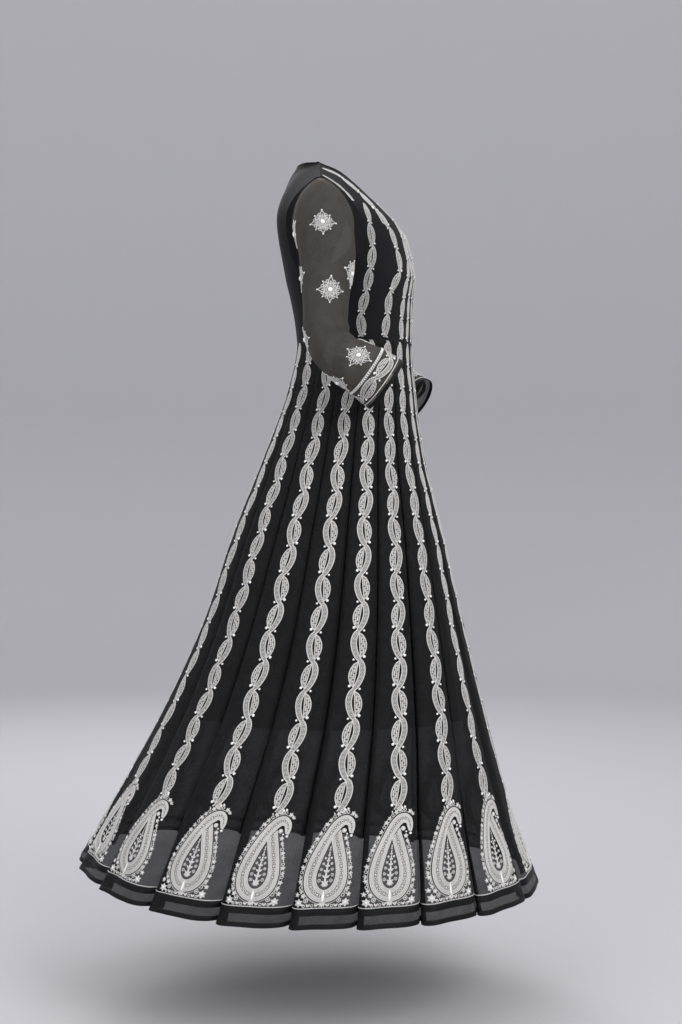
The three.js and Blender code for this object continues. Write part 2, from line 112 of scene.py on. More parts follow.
def grid_faces(rows, cols, closed=False):
    """Quads of a grid of rows x cols vertices, which face the side the cloth shows."""
    last = cols if closed else cols - 1
    r, c = np.meshgrid(np.arange(rows - 1), np.arange(last), indexing="ij")
    nxt = (c + 1) % cols
    quads = [r * cols + c, r * cols + nxt, (r + 1) * cols + nxt, (r + 1) * cols + c]
    return np.stack(quads, axis=-1).reshape(-1, 4)


# %% Sweep and lamps
FLOOR_Z = -1.435


def plain_material(name, color, roughness):
    material = bpy.data.materials.new(name)
    material.use_nodes = True
    shader = material.node_tree.nodes["Principled BSDF"]
    shader.inputs["Base Color"].default_value = (*color, 1)
    shader.inputs["Roughness"].default_value = roughness
    return material


bend = np.linspace(0, math.pi / 2, 12)
sweep_r = np.concatenate([[0.0, 3.0], 4.6 + 1.4 * np.sin(bend), [6.0]])
sweep_z = np.concatenate([[0.0, 0.0], 1.4 * (1 - np.cos(bend)), [4.6]]) + FLOOR_Z
turn = np.linspace(0, 2 * math.pi, 64, endpoint=False)
sweep_points = np.stack([sweep_r[:, None] * np.cos(turn), sweep_r[:, None] * np.sin(turn),
                         np.repeat(sweep_z[:, None], 64, 1)], axis=-1)
sweep = add_object("studio_sweep", sweep_points.reshape(-1, 3),
                   [grid_faces(len(sweep_r), 64, closed=True)],
                   [plain_material("pale_sweep", (0.47, 0.465, 0.49), 0.9)])

world = bpy.data.worlds.new("studio_air")
world.use_nodes = True
world.node_tree.nodes["Background"].inputs["Color"].default_value = (0.97, 0.98, 1.0, 1)
world.node_tree.nodes["Background"].inputs["Strength"].default_value = 1.15
bpy.context.scene.world = world
bpy.context.scene.view_settings.view_transform = "Standard"

LAMPS = [  # name, place, size, power, what it is aimed at
    ("key_lamp", (-2.6, -2.6, 1.5), 2.2, 95, (0, 0, -0.5)),
    ("fill_lamp", (-3.4, 1.6, 0.6), 2.4, 45, (0, 0, -0.6)),
    ("rim_lamp", (2.8, 1.6, 1.6), 1.6, 45, (0, 0, -0.5)),
]
for name, place, size, power, aim in LAMPS:
    lamp_data = bpy.data.lights.new(name, "AREA")
    lamp_data.size = size
    lamp_data.energy = power
    lamp = bpy.data.objects.new(name, lamp_data)
    lamp.location = place
    aim_line = np.array(aim) - np.array(place)
    lamp.rotation_euler = (math.acos(-aim_line[2] / np.linalg.norm(aim_line)), 0,
                           math.atan2(-aim_line[0], aim_line[1]))
    bpy.context.scene.collection.objects.link(lamp)
print("lamps:", len(LAMPS))

# %% [markdown]
# The gown's cloth hangs on rings: an oval round the body at each height. A table of the
# ovals is easier to fit to a body than a sculpted mesh, and the same ovals place the
# cloth, the folds and every stitch. Round a ring a place is counted in kalis: 0 at the
# centre front, 5 at the right side, 10 at the centre back, and negative on the left.

# %% The body's rings
# height, reach to the front, to the back, half width, squareness, fold depth, back lift,
# and how far the seams have drifted back, in kalis
BODY_LEVELS = np.array([
    (-1236, -368, 432, 352, 2.15, 24, 38, 0.27),
    (-1075, -310, 343, 312, 2.25, 21, 26, 0.13),
    (-925, -270, 266, 268, 2.3, 18, 16, 0),
    (-786, -236, 208, 228, 2.35, 15, 9, -0.11),
    (-645, -204, 163, 188, 2.4, 11, 4, -0.25),
    (-487, -166, 101, 150, 2.4, 6, 0, -0.38),
    (-391, -153, 66, 129, 2.4, 2, 0, -0.39),
    (-305, -147, 49, 117, 2.4, 0, 0, -0.3),
    (-262, -147, 54, 122, 2.4, 0, 0, 0),
    (-222, -149, 62, 130, 2.35, 0, 0, 0),
    (-180, -153, 72, 140, 2.3, 0, 0, 0),
], dtype=float)
WAIST_Z, HEM_Z, LINING_HEM_Z = -305.0, -1236.0, -945.0
HALF_RING, SIDE_SEAM = 10.0, 5.0


def smooth(x, xs, ys):
    """Values at x on a smooth curve through a table, which never overshoots its rows."""
    xs, ys = np.asarray(xs, float), np.asarray(ys, float)
    steps = np.diff(xs)
    slopes = np.diff(ys) / steps
    bends = np.empty_like(ys)
    bends[0], bends[-1] = slopes[0], slopes[-1]
    product = slopes[:-1] * slopes[1:]
    total = np.where(product > 0, slopes[:-1] + slopes[1:], 1)
    bends[1:-1] = np.where(product > 0, 2 * product / total, 0)
    x = np.clip(x, xs[0], xs[-1])
    i = np.clip(np.searchsorted(xs, x) - 1, 0, len(steps) - 1)
    t = (x - xs[i]) / steps[i]
    a, b = 1 - t, t
    return (ys[i] * a * a * (1 + 2 * t) + ys[i + 1] * b * b * (3 - 2 * t)
            + steps[i] * (bends[i] * t * a * a - bends[i + 1] * t * t * a))


def level(z, column):
    return smooth(z, BODY_LEVELS[:, 0], BODY_LEVELS[:, column])


RING_Z = np.linspace(HEM_Z, -180, 265)
RING_PLACES = np.linspace(0, HALF_RING, 401)


def half_ring(z):
    """x, y and the inward direction at RING_PLACES round half the ring at height z."""
    front, back, half, square = (level(z, k) for k in (1, 2, 3, 4))
    angle = np.linspace(0, math.pi, 721)
    along = np.sign(np.cos(angle)) * np.abs(np.cos(angle)) ** (2 / square)
    x = -half * np.abs(np.sin(angle)) ** (2 / square)
    y = (front + back) / 2 - (back - front) / 2 * along
    run = np.concatenate([[0], np.cumsum(np.hypot(np.diff(x), np.diff(y)))])
    at = RING_PLACES / HALF_RING * run[-1]
    x, y = np.interp(at, run, x), np.interp(at, run, y)
    dx, dy = np.gradient(x), np.gradient(y)
    size = np.hypot(dx, dy)
    inward_x, inward_y = dy / size, -dx / size
    inward_x[[0, -1]], inward_y[0], inward_y[-1] = 0, 1, -1
    return np.stack([x, y, inward_x, inward_y], axis=-1), run[-1]


ring_rows = [half_ring(z) for z in RING_Z]
RING_TABLE = np.stack([row for row, _ in ring_rows])
RING_LENGTH = np.array([length for _, length in ring_rows])
print("half ring at the waist and the hem:", [round(float(np.interp(z, RING_Z, RING_LENGTH)))
                                              for z in (WAIST_Z, HEM_Z)], "mm")


def sample(table, rows, cols, r, c):
    """Values of a regular table at row coordinate r and column coordinate c."""
    fr = np.clip((r - rows[0]) / (rows[-1] - rows[0]) * (len(rows) - 1), 0, len(rows) - 1.001)
    fc = np.clip((c - cols[0]) / (cols[-1] - cols[0]) * (len(cols) - 1), 0, len(cols) - 1.001)
    i, j = fr.astype(int), fc.astype(int)
    u, v = (fr - i)[..., None], (fc - j)[..., None]
    return ((table[i, j] * (1 - v) + table[i, j + 1] * v) * (1 - u)
            + (table[i + 1, j] * (1 - v) + table[i + 1, j + 1] * v) * u)


def ring_point(z, place, inward):
    """Points of the ring at height z, `inward` millimetres inside it."""
    z, place, inward = np.broadcast_arrays(*(np.asarray(v, float) for v in (z, place, inward)))
    size = np.abs(place)
    folded = np.where(size > HALF_RING, 2 * HALF_RING - size, size)
    side = np.where(place < 0, -1.0, 1.0) * np.where(size > HALF_RING, -1.0, 1.0)
    row = sample(RING_TABLE, RING_Z, RING_PLACES, z, folded)
    x, y = row[..., 0] + row[..., 2] * inward, row[..., 1] + row[..., 3] * inward
    front, back = level(z, 1), level(z, 2)
    behind = np.clip((y - (front + back) / 2) / ((back - front) / 2), 0, None)
    return np.stack([side * x, y, z + level(z, 6) * behind ** 2], axis=-1)


# %% [markdown]
# A kali is a long panel, narrow at the waist and wide at the hem. Where two are sewn
# together the cloth falls into a knife fold: the edge of one turns under as a crest, and
# its neighbour slides in beneath it. Each panel is drawn as a path across its width, a
# little wider than its share of the ring, so that the layers really overlap and the sheer
# cloth darkens there by itself.

# %% The kalis' widths and folds
KALI_SHARE = [1.25, 1.1, 0.925, 0.9, 0.9, 1.0, 1.075, 1.1, 1.025, 0.9, 0.9]
FOLD_SHARE = [1.0, 0.85, 1.1, 0.95, 1.15, 1.0, 1.2, 0.9, 1.05, 0.85]
SEAMS = np.concatenate([[KALI_SHARE[0] / 2], KALI_SHARE[0] / 2 + np.cumsum(KALI_SHARE[1:10])])

# how far across, how deep in the fold, and how many millimetres under the layer above
SOFT_EDGE = [(-1.2, 1.03, 0.5), (-1.0, 1.0, 0.5), (-0.9, 0.62, 0.4), (-0.75, 0.24, 0.2),
             (-0.45, 0.03, 0), (-0.1, 0, 0)]
CREST_EDGE = [(0.2, 0, 0), (0.7, 0, 0), (0.86, 0.08, 0), (0.96, 0.26, 0), (1.03, 0.5, 0),
              (1.02, 0.72, 0.5), (0.95, 0.88, 1.0), (0.8, 0.98, 1.0)]


def turned(edge):
    return [(-across, depth, under) for across, depth, under in reversed(edge)]


SIDE_PATH = np.array(SOFT_EDGE + CREST_EDGE)
FRONT_PATH = np.array(turned(CREST_EDGE) + CREST_EDGE)
BACK_PATH = np.array(SOFT_EDGE + turned(SOFT_EDGE))
# the deepest rows of a path that still lie on the face of the panel
FACE_SOFT = np.array([(a, d) for a, d, _ in SOFT_EDGE[1:]])
FACE_CREST = np.array([(a, d) for a, d, _ in CREST_EDGE[:5]])


def ripple(z, place):
    """Soft waves of the hanging cloth, none at the waist and a few millimetres at the hem."""
    low = np.clip((WAIST_Z - z) / (WAIST_Z - HEM_Z), 0, 1)
    wave = (np.sin(place * 3.1 + z * 0.006) + 0.7 * np.sin(place * 7.3 - z * 0.011 + 1.3)
            + 0.4 * np.sin(place * 13.7 + z * 0.017 + 0.4))
    return wave * (0.6 * low + 1.4 * low ** 2)


DRIFT_SPREAD = 0.15


def drifted(z, place):
    """Where a seam stands at height z: it wanders most at the wearer's sides."""
    turn = np.sin(math.pi * place / HALF_RING)
    return place + level(z, 7) * turn / np.sqrt(turn ** 2 + DRIFT_SPREAD)


def kali_edges(number):
    """The two seams of a kali, as places round the ring."""
    if number == 0:
        return -SEAMS[0], SEAMS[0]
    if number == 10:
        return SEAMS[9], 2 * HALF_RING - SEAMS[9]
    return SEAMS[number - 1], SEAMS[number]


def kali_folds(number):
    if number == 0:
        return FOLD_SHARE[0], FOLD_SHARE[0]
    if number == 10:
        return FOLD_SHARE[9], FOLD_SHARE[9]
    return FOLD_SHARE[number - 1], FOLD_SHARE[number]


def face_depth(number, across):
    """How deep in the folds the face of a kali lies, as a share of the fold's depth."""
    soft = lambda a: smooth(-a, -FACE_SOFT[::-1, 0], FACE_SOFT[::-1, 1])
    crest = lambda a: smooth(a, FACE_CREST[:, 0], FACE_CREST[:, 1])
    if number == 0:
        return crest(np.abs(across))
    if number == 10:
        return soft(-np.abs(across))
    return np.where(across > 0, crest(across), soft(across))


def kali_point(number, across, z, depth=None, under=0.0):
    """Points of a right-hand kali, `across` its width from -1 at its front edge to 1."""
    across, z = np.broadcast_arrays(np.asarray(across, float), np.asarray(z, float))
    start, end = kali_edges(number)
    fold_front, fold_back = kali_folds(number)
    if depth is None:
        depth = face_depth(number, across)
    place = start + (end - start) * (across + 1) / 2
    fold = np.where(across < 0, fold_front, fold_back) * level(z, 5)
    points = ring_point(z, drifted(z, place), depth * fold + under - ripple(z, place))
    low = np.clip((WAIST_Z - z) / (WAIST_Z - HEM_Z), 0, 1)
    points[..., 2] -= 3 * low ** 4 * np.clip(across, 0, 1) ** 3
    return points


def half_width(number, z):
    start, end = kali_edges(number)
    return (end - start) / 2 * np.interp(z, RING_Z, RING_LENGTH) / HALF_RING


def up_the_kali(number):
    """Heights down the middle of a kali, and how far each lies above the hem along it."""
    z = np.linspace(HEM_Z, WAIST_Z, 120)
    line = kali_point(number, 0.0, z)
    run = np.concatenate([[0], np.cumsum(np.linalg.norm(np.diff(line, axis=0), axis=1))])
    return z, run


print("seams, in kalis from the centre front:", [round(float(s), 2) for s in SEAMS])

# %% [markdown]
# Georgette is a crepe: its yarns are twisted so hard that the cloth pebbles, and it is so
# open that a wall shows through one layer and hardly through two. A weave is needed in
# every cloth here, so it is one node group that reads the cloth's own measure in
# millimetres and gives the height of the yarns and the gaps between them.

# %% The weave group


def new_group(name, inputs, outputs):
    """An empty node group with float or vector sockets."""
    group = bpy.data.node_groups.new(name, "ShaderNodeTree")
    for socket, kind, value in inputs:
        made = group.interface.new_socket(name=socket, in_out="INPUT", socket_type=kind)
        if value is not None:
            made.default_value = value
    for socket, kind in outputs:
        group.interface.new_socket(name=socket, in_out="OUTPUT", socket_type=kind)
    return group, group.nodes.new("NodeGroupInput"), group.nodes.new("NodeGroupOutput")


def maths(tree, kind, *values):
    """A Math node whose inputs are sockets or plain numbers. Returns its output."""
    node = tree.nodes.new("ShaderNodeMath")
    node.operation = kind
    for slot, value in zip(node.inputs, values):
        if isinstance(value, (int, float)):
            slot.default_value = value
        else:
            tree.links.new(value, slot)
    return node.outputs[0]


def noise(tree, vector, scale, detail=2.0):
    node = tree.nodes.new("ShaderNodeTexNoise")
    node.inputs["Scale"].default_value = scale
    node.inputs["Detail"].default_value = detail
    tree.links.new(vector, node.inputs["Vector"])
    return node.outputs["Fac"]


FLOAT, VECTOR = "NodeSocketFloat", "NodeSocketVector"
weave_group, weave_in, weave_out = new_group(
    "woven_yarns",
    [("Vector", VECTOR, None), ("Yarns per mm", FLOAT, 2.0), ("Unevenness", FLOAT, 0.3)],
    [("Height", FLOAT), ("Gap", FLOAT), ("Cloud", FLOAT)])
scaled = weave_group.nodes.new("ShaderNodeVectorMath")
scaled.operation = "SCALE"
weave_group.links.new(weave_in.outputs["Vector"], scaled.inputs[0])
weave_group.links.new(weave_in.outputs["Yarns per mm"], scaled.inputs["Scale"])
axes = weave_group.nodes.new("ShaderNodeSeparateXYZ")
weave_group.links.new(scaled.outputs[0], axes.inputs[0])
wobble = maths(weave_group, "MULTIPLY", noise(weave_group, scaled.outputs[0], 0.35),
               weave_in.outputs["Unevenness"])
warp_at = maths(weave_group, "ADD", axes.outputs["X"], wobble)
weft_at = maths(weave_group, "ADD", axes.outputs["Y"], wobble)
warp = maths(weave_group, "ABSOLUTE", maths(weave_group, "SINE",
                                            maths(weave_group, "MULTIPLY", warp_at, math.pi)))
weft = maths(weave_group, "ABSOLUTE", maths(weave_group, "SINE",
                                            maths(weave_group, "MULTIPLY", weft_at, math.pi)))
squares = maths(weave_group, "ADD", maths(weave_group, "FLOOR", warp_at),
                maths(weave_group, "FLOOR", weft_at))
over = maths(weave_group, "PINGPONG", squares, 1.0)
lifted_warp = maths(weave_group, "MULTIPLY", warp,
                    maths(weave_group, "MULTIPLY_ADD", over, 0.5, 0.5))
lifted_weft = maths(weave_group, "MULTIPLY", weft,
                    maths(weave_group, "MULTIPLY_ADD", over, -0.5, 1.0))
weave_group.links.new(maths(weave_group, "MAXIMUM", lifted_warp, lifted_weft),
                      weave_out.inputs["Height"])
weave_group.links.new(maths(weave_group, "MULTIPLY", maths(weave_group, "SUBTRACT", 1.0, warp),
                            maths(weave_group, "SUBTRACT", 1.0, weft)), weave_out.inputs["Gap"])
weave_group.links.new(noise(weave_group, scaled.outputs[0], 0.02, 4.0), weave_out.inputs["Cloud"])
print("group:", weave_group.name)

# %% [markdown]
# The thread work is couched cord: a smooth twisted yarn laid in rows. Its group draws the
# slanting plies along each row, from a UV that runs along the cord, so that a row catches
# the light as a rope does. Beads and cloths use only its soft mottling.

# %% The twisted thread group
thread_group, thread_in, thread_out = new_group(
    "twisted_thread",
    [("Vector", VECTOR, None), ("Plies per mm", FLOAT, 0.9)],
    [("Height", FLOAT), ("Shade", FLOAT)])
along = thread_group.nodes.new("ShaderNodeSeparateXYZ")
thread_group.links.new(thread_in.outputs["Vector"], along.inputs[0])
ply = maths(thread_group, "MULTIPLY", along.outputs["X"], thread_in.outputs["Plies per mm"])
slanted = maths(thread_group, "MULTIPLY_ADD", along.outputs["Y"], 0.55, ply)
twist = maths(thread_group, "ABSOLUTE", maths(thread_group, "SINE",
                                              maths(thread_group, "MULTIPLY", slanted, math.pi)))
thread_group.links.new(twist, thread_out.inputs["Height"])
fuzz = noise(thread_group, thread_in.outputs["Vector"], 0.8, 3.0)
thread_group.links.new(maths(thread_group, "MULTIPLY_ADD", twist, 0.35,
                             maths(thread_group, "MULTIPLY", fuzz, 0.65)),
                       thread_out.inputs["Shade"])
print("group:", thread_group.name)

# %% [markdown]
# Each finish is one Principled shader fed by those groups. The sheer cloth lets light
# through by its alpha, which the gaps of the weave and a slow cloudiness vary; the opaque
# cloths keep the same yarns with no gaps.

# %% Cloth materials


def cloth_material(name, dark, light, yarns, roughness, bump, alpha=None, sheen=0.02):
    """A woven cloth: yarns vary its colour between dark and light, and alpha opens it."""
    material = bpy.data.materials.new(name)
    material.use_nodes = True
    tree = material.node_tree
    shader = tree.nodes["Principled BSDF"]
    shader.inputs["Sheen Weight"].default_value = sheen
    shader.inputs["Sheen Roughness"].default_value = 0.5
    shader.inputs["Specular IOR Level"].default_value = 0.12
    uv = tree.nodes.new("ShaderNodeUVMap")
    uv.uv_map = "cloth"
    weave = tree.nodes.new("ShaderNodeGroup")
    weave.node_tree = weave_group
    weave.inputs["Yarns per mm"].default_value = yarns
    tree.links.new(uv.outputs[0], weave.inputs["Vector"])
    tone = maths(tree, "MULTIPLY_ADD", weave.outputs["Height"], 0.6,
                 maths(tree, "MULTIPLY", weave.outputs["Cloud"], 0.5))
    mix = tree.nodes.new("ShaderNodeMix")
    mix.data_type = "RGBA"
    mix.inputs["A"].default_value = (*dark, 1)
    mix.inputs["B"].default_value = (*light, 1)
    tree.links.new(tone, mix.inputs["Factor"])
    tree.links.new(mix.outputs["Result"], shader.inputs["Base Color"])
    tree.links.new(maths(tree, "MULTIPLY_ADD", weave.outputs["Height"], -0.12, roughness),
                   shader.inputs["Roughness"])
    relief = tree.nodes.new("ShaderNodeBump")
    relief.inputs["Strength"].default_value = bump
    relief.inputs["Distance"].default_value = 0.15 * MM
    tree.links.new(weave.outputs["Height"], relief.inputs["Height"])
    tree.links.new(relief.outputs["Normal"], shader.inputs["Normal"])
    if alpha is not None:
        open_cloth = maths(tree, "MULTIPLY_ADD", weave.outputs["Gap"], -0.45, alpha)
        tree.links.new(maths(tree, "MULTIPLY_ADD", weave.outputs["Cloud"], 0.12, open_cloth),
                       shader.inputs["Alpha"])
    return material


SHEER = cloth_material("sheer_georgette", (0.003, 0.003, 0.0035), (0.010, 0.010, 0.0105), 1.8,
                       0.8, 0.5, alpha=0.89)
# The sleeves and cuffs are the skirt's black georgette painted lighter and warmer: painted sheen,
# and the tone of an arm seen through the sheer cloth, though no arm is built.
SLEEVE_GEORGETTE_PAINTED_SHEEN = cloth_material("sheer_sleeve_georgette", (0.040, 0.035, 0.031),
                              (0.070, 0.062, 0.055), 1.8, 0.8, 0.5, alpha=0.80)
BODICE = cloth_material("backed_georgette", (0.003, 0.003, 0.0035), (0.010, 0.010, 0.0115), 1.8,
                        0.85, 0.6, sheen=0.03)
LINING = cloth_material("lining_crepe", (0.002, 0.002, 0.0025), (0.006, 0.006, 0.0065), 2.4, 0.8,
                        0.4)
SATIN = cloth_material("satin_binding", (0.002, 0.002, 0.0025), (0.006, 0.006, 0.0065), 3.0, 0.6,
                       0.3)


def thread_material(name, shadow, bright, roughness, plies, bump):
    """Raised thread: the plies and a soft mottling move its colour from shadow to bright."""
    material = bpy.data.materials.new(name)
    material.use_nodes = True
    tree = material.node_tree
    shader = tree.nodes["Principled BSDF"]
    shader.inputs["Specular IOR Level"].default_value = 0.35
    uv = tree.nodes.new("ShaderNodeUVMap")
    uv.uv_map = "cloth"
    thread = tree.nodes.new("ShaderNodeGroup")
    thread.node_tree = thread_group
    thread.inputs["Plies per mm"].default_value = plies
    tree.links.new(uv.outputs[0], thread.inputs["Vector"])
    mix = tree.nodes.new("ShaderNodeMix")
    mix.data_type = "RGBA"
    mix.inputs["A"].default_value = (*shadow, 1)
    mix.inputs["B"].default_value = (*bright, 1)
    tree.links.new(thread.outputs["Shade"], mix.inputs["Factor"])
    tree.links.new(mix.outputs["Result"], shader.inputs["Base Color"])
    tree.links.new(maths(tree, "MULTIPLY_ADD", thread.outputs["Shade"], -0.2, roughness),
                   shader.inputs["Roughness"])
    relief = tree.nodes.new("ShaderNodeBump")
    relief.inputs["Strength"].default_value = bump
    relief.inputs["Distance"].default_value = 0.4 * MM
    tree.links.new(thread.outputs["Height"], relief.inputs["Height"])
    tree.links.new(relief.outputs["Normal"], shader.inputs["Normal"])
    return material


CORD = thread_material("laid_cord", (0.36, 0.35, 0.335), (0.80, 0.785, 0.76), 0.6, 0.9, 0.6)
# The ground is the cord's own pale thread painted darker: painted shade for the low fill that lies
# between the raised rows of cord.
THREAD_GROUND_PAINTED_SHADE = thread_material("thread_ground_painted_shade", (0.11, 0.108, 0.104), (0.37, 0.36, 0.345), 0.8, 0.5, 0.5)
BEAD = thread_material("pale_bead", (0.78, 0.77, 0.75), (0.95, 0.94, 0.93), 0.25, 0.1, 0.05)
EYELET = cloth_material("open_eyelet", (0.006, 0.006, 0.007), (0.02, 0.02, 0.02), 2.0, 0.9, 0.2)
THREADS = [CORD, THREAD_GROUND_PAINTED_SHADE, BEAD, EYELET]
print("materials:", len(bpy.data.materials))

# %% [markdown]
# A kali is built as a grid: the path across it, fold and all, repeated at 57 heights
# from waist to hem. Working from the rings rather than from a cloth simulation keeps each
# fold where the tailor put it. The left side is the right side seen in a mirror.

# %% Build the kalis
KALI_HEIGHTS = np.concatenate([np.linspace(WAIST_Z, -500, 16)[:-1], np.linspace(-500, HEM_Z, 42)])
STEPS_PER_EDGE = 3


CUTS = {}


def cut_size(points):
    """Flat width, length and area in metres of a grid of cloth, rows across and columns down."""
    wide, tall = (np.linalg.norm(np.diff(points, axis=k), axis=2) for k in (1, 0))
    width, length = wide.sum(axis=1).max() * MM, tall.sum(axis=0).max() * MM
    falling, rising = points[1:, 1:] - points[:-1, :-1], points[1:, :-1] - points[:-1, 1:]
    cells = np.linalg.norm(np.cross(falling, rising), axis=2).sum() / 2 * MM ** 2
    return width, length, min(cells, width * length)


def panel(name, points, materials, uvs, closed=False):
    """A cloth panel on a grid of points in millimetres, with its UV in millimetres."""
    rows, cols = points.shape[:2]
    CUTS[name] = cut_size(points)
    return add_object(name, points.reshape(-1, 3) * MM, [grid_faces(rows, cols, closed)],
                      materials, uvs.reshape(-1, 2))


def kali_grid(number, z, path):
    """The points of a kali across its whole path, and how far across and down each lies."""
    knots = np.arange(len(path))
    at = np.linspace(0, len(path) - 1, (len(path) - 1) * STEPS_PER_EDGE + 1)
    across, depth, under = (smooth(at, knots, path[:, k]) for k in range(3))
    points = kali_point(number, across[None, :], z[:, None], depth[None, :], under[None, :])
    return points, across


def mirror(points):
    return points * np.array([-1, 1, 1])


def kali_names(number):
    if number == 0:
        return [("kali_front", 1)]
    if number == 10:
        return [("kali_back", 1)]
    return [(f"kali_right_{number}", 1), (f"kali_left_{number}", -1)]


kalis = {}
for number in range(11):
    path = {0: FRONT_PATH, 10: BACK_PATH}.get(number, SIDE_PATH)
    grid, across = kali_grid(number, KALI_HEIGHTS, path)
    zs, run = up_the_kali(number)
    u = across[None, :] * half_width(number, KALI_HEIGHTS)[:, None]
    v = np.repeat(np.interp(KALI_HEIGHTS, zs, run)[:, None], len(across), 1)
    cloth_uv = np.stack([u, v], axis=-1)
    for node, side in kali_names(number):
        points = grid if side > 0 else mirror(grid)[:, ::-1]
        uvs = cloth_uv if side > 0 else cloth_uv[:, ::-1]
        made = panel("sheer_" + node, points, [SHEER], uvs)
        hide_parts(node)
        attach(made, "root")
        kalis[node] = made
print("kalis:", len(kalis), "of", len(next(iter(kalis.values())).data.polygons), "faces")

# %% [markdown]
# Under the sheer skirt hangs a shorter one of opaque crepe, from the same waist seam. Its
# edge is what makes the skirt look dark above the knee and clear below it, so it is a
# plain smooth cone that stays inside every fold.

# %% Underskirt
LINING_HEIGHTS = np.linspace(WAIST_Z, LINING_HEM_Z, 40)
linings = {}
for name, start, end in (("lining_front", -SIDE_SEAM, SIDE_SEAM),
                         ("lining_back", SIDE_SEAM, 2 * HALF_RING - SIDE_SEAM)):
    places = np.linspace(start, end, 81)[None, :]
    heights = LINING_HEIGHTS[:, None]
    inset = 1.8 + 1.26 * level(heights, 5) + 1.2 * np.sin(places * 4.0) * (WAIST_Z - heights) / 640
    points = ring_point(heights, places, inset + 0.6)
    u = (places - (start + end) / 2) * np.interp(heights, RING_Z, RING_LENGTH) / HALF_RING
    uvs = np.stack([u, np.repeat(heights, 81, 1)], axis=-1)
    made = panel("crepe_" + name, points, [LINING], uvs)
    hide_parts(name)
    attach(made, "root")
    linings[name] = made
print("underskirt pieces:", len(linings))

# %% [markdown]
# The bodice is fitted by columns: each rises from the waist seam through the rings, over
# the fullest part of the chest or back, and rounds over to the neckline, the shoulder seam
# or the armhole. A smooth curve through those few points is how a tailor's form is made.

# %% Bodice tables
# place, x, y, z
NECK_FRONT = [(0, 0, -88, -61), (0.9, -33, -79, -52), (1.7, -58, -58, -33), (2.3, -72, -33, -14),
              (2.75, -78, 0, 0)]
NECK_BACK = [(7.25, -78, 0, 0), (7.8, -73, 23, 1), (8.5, -56, 41, 1), (9.3, -30, 50, -2),
             (10, 0, 53, -4)]
FULL_FRONT = [(0, 0, -134, -112), (1.2, -50, -132, -112), (2.75, -102, -113, -106),
              (4.4, -143, -82, -104)]
FULL_BACK = [(5.6, -147, 42, -98), (7.25, -104, 67, -88), (8.7, -52, 76, -88), (10, 0, 78, -88)]
ROUND_FRONT = [(0, 0, -112, -87), (1.2, -45, -101, -73), (2.75, -90, -50, -33),
               (4.4, -157, -48, -62)]
ROUND_BACK = [(5.6, -158, 10, -56), (7.25, -88, 34, -18), (8.7, -48, 60, -24), (10, 0, 67, -34)]
ARMHOLE = np.array([(-165, -18, -43), (-165, 16, -72), (-159, 29, -120), (-150, 6, -166),
                    (-143, -36, -184), (-150, -66, -160), (-158, -74, -114), (-165, -54, -70)],
                   dtype=float)
# waist place, and the place its column fans out to beside the armhole
FAN_FRONT = np.array([(0, 0), (2.75, 2.4), (4.4, 3.75), (4.7, 4.1), (4.85, 4.45), (5, 5)])
FAN_BACK = np.array([(5, 5), (5.15, 6.0), (5.3, 6.45), (5.6, 7.1), (7.25, 7.9), (10, 10)])
FAN_HEIGHTS = [(-305, 0), (-262, 0.15), (-222, 0.5), (-190, 0.9)]
NECK_END, SHOULDER_END = 2.75, 4.4


def curve_at(points, share):
    """Points at even shares of a smooth curve through control points of shape (n, ..., 3)."""
    points = np.asarray(points, float)
    first, last = 2 * points[:1] - points[1:2], 2 * points[-1:] - points[-2:-1]
    padded = np.concatenate([first, points, last])
    span = np.clip(np.asarray(share, float), 0, 1) * (len(points) - 1)
    i = np.minimum(span.astype(int), len(points) - 2)
    t = (span - i).reshape(span.shape + (1,) * (points.ndim - 1))
    p0, p1, p2, p3 = (padded[i + k] for k in range(4))
    d0, d1, d2 = (np.maximum(np.linalg.norm(b - a, axis=-1, keepdims=True), 1e-4) ** 0.5
                  for a, b in ((p0, p1), (p1, p2), (p2, p3)))
    t1 = ((p1 - p0) / d0 - (p2 - p0) / (d0 + d1) + (p2 - p1) / d1) * d1
    t2 = ((p2 - p1) / d1 - (p3 - p1) / (d1 + d2) + (p3 - p2) / d2) * d1
    return (p1 + t1 * t + (-3 * p1 + 3 * p2 - 2 * t1 - t2) * t ** 2
            + (2 * p1 - 2 * p2 + t1 + t2) * t ** 3)


def table_point(rows, place):
    rows = np.array(rows, float)
    share = np.interp(place, rows[:, 0], np.linspace(0, 1, len(rows)))
    return curve_at(rows[:, 1:], np.array([share]))[0]


def armhole_point(share):
    """Points on the closed armhole: 0 at the shoulder, down the back and up the front."""
    loop = np.concatenate([ARMHOLE[-1:], ARMHOLE, ARMHOLE[:2]])
    at = (np.mod(share, 1) * len(ARMHOLE) + 1) / (len(loop) - 1)
    return curve_at(loop, np.atleast_1d(at))


def top_edge(place):
    on_back = place > SIDE_SEAM
    middle = HALF_RING - place if on_back else place
    if middle <= NECK_END:
        return table_point(NECK_BACK if on_back else NECK_FRONT, place)
    along = (middle - NECK_END) / (SHOULDER_END - NECK_END)
    if along <= 1:
        return np.array([-78, 0, 0]) * (1 - along) + ARMHOLE[0] * along
    down = (middle - SHOULDER_END) / (SIDE_SEAM - SHOULDER_END) / 2
    return armhole_point(down if on_back else 1 - down)[0]


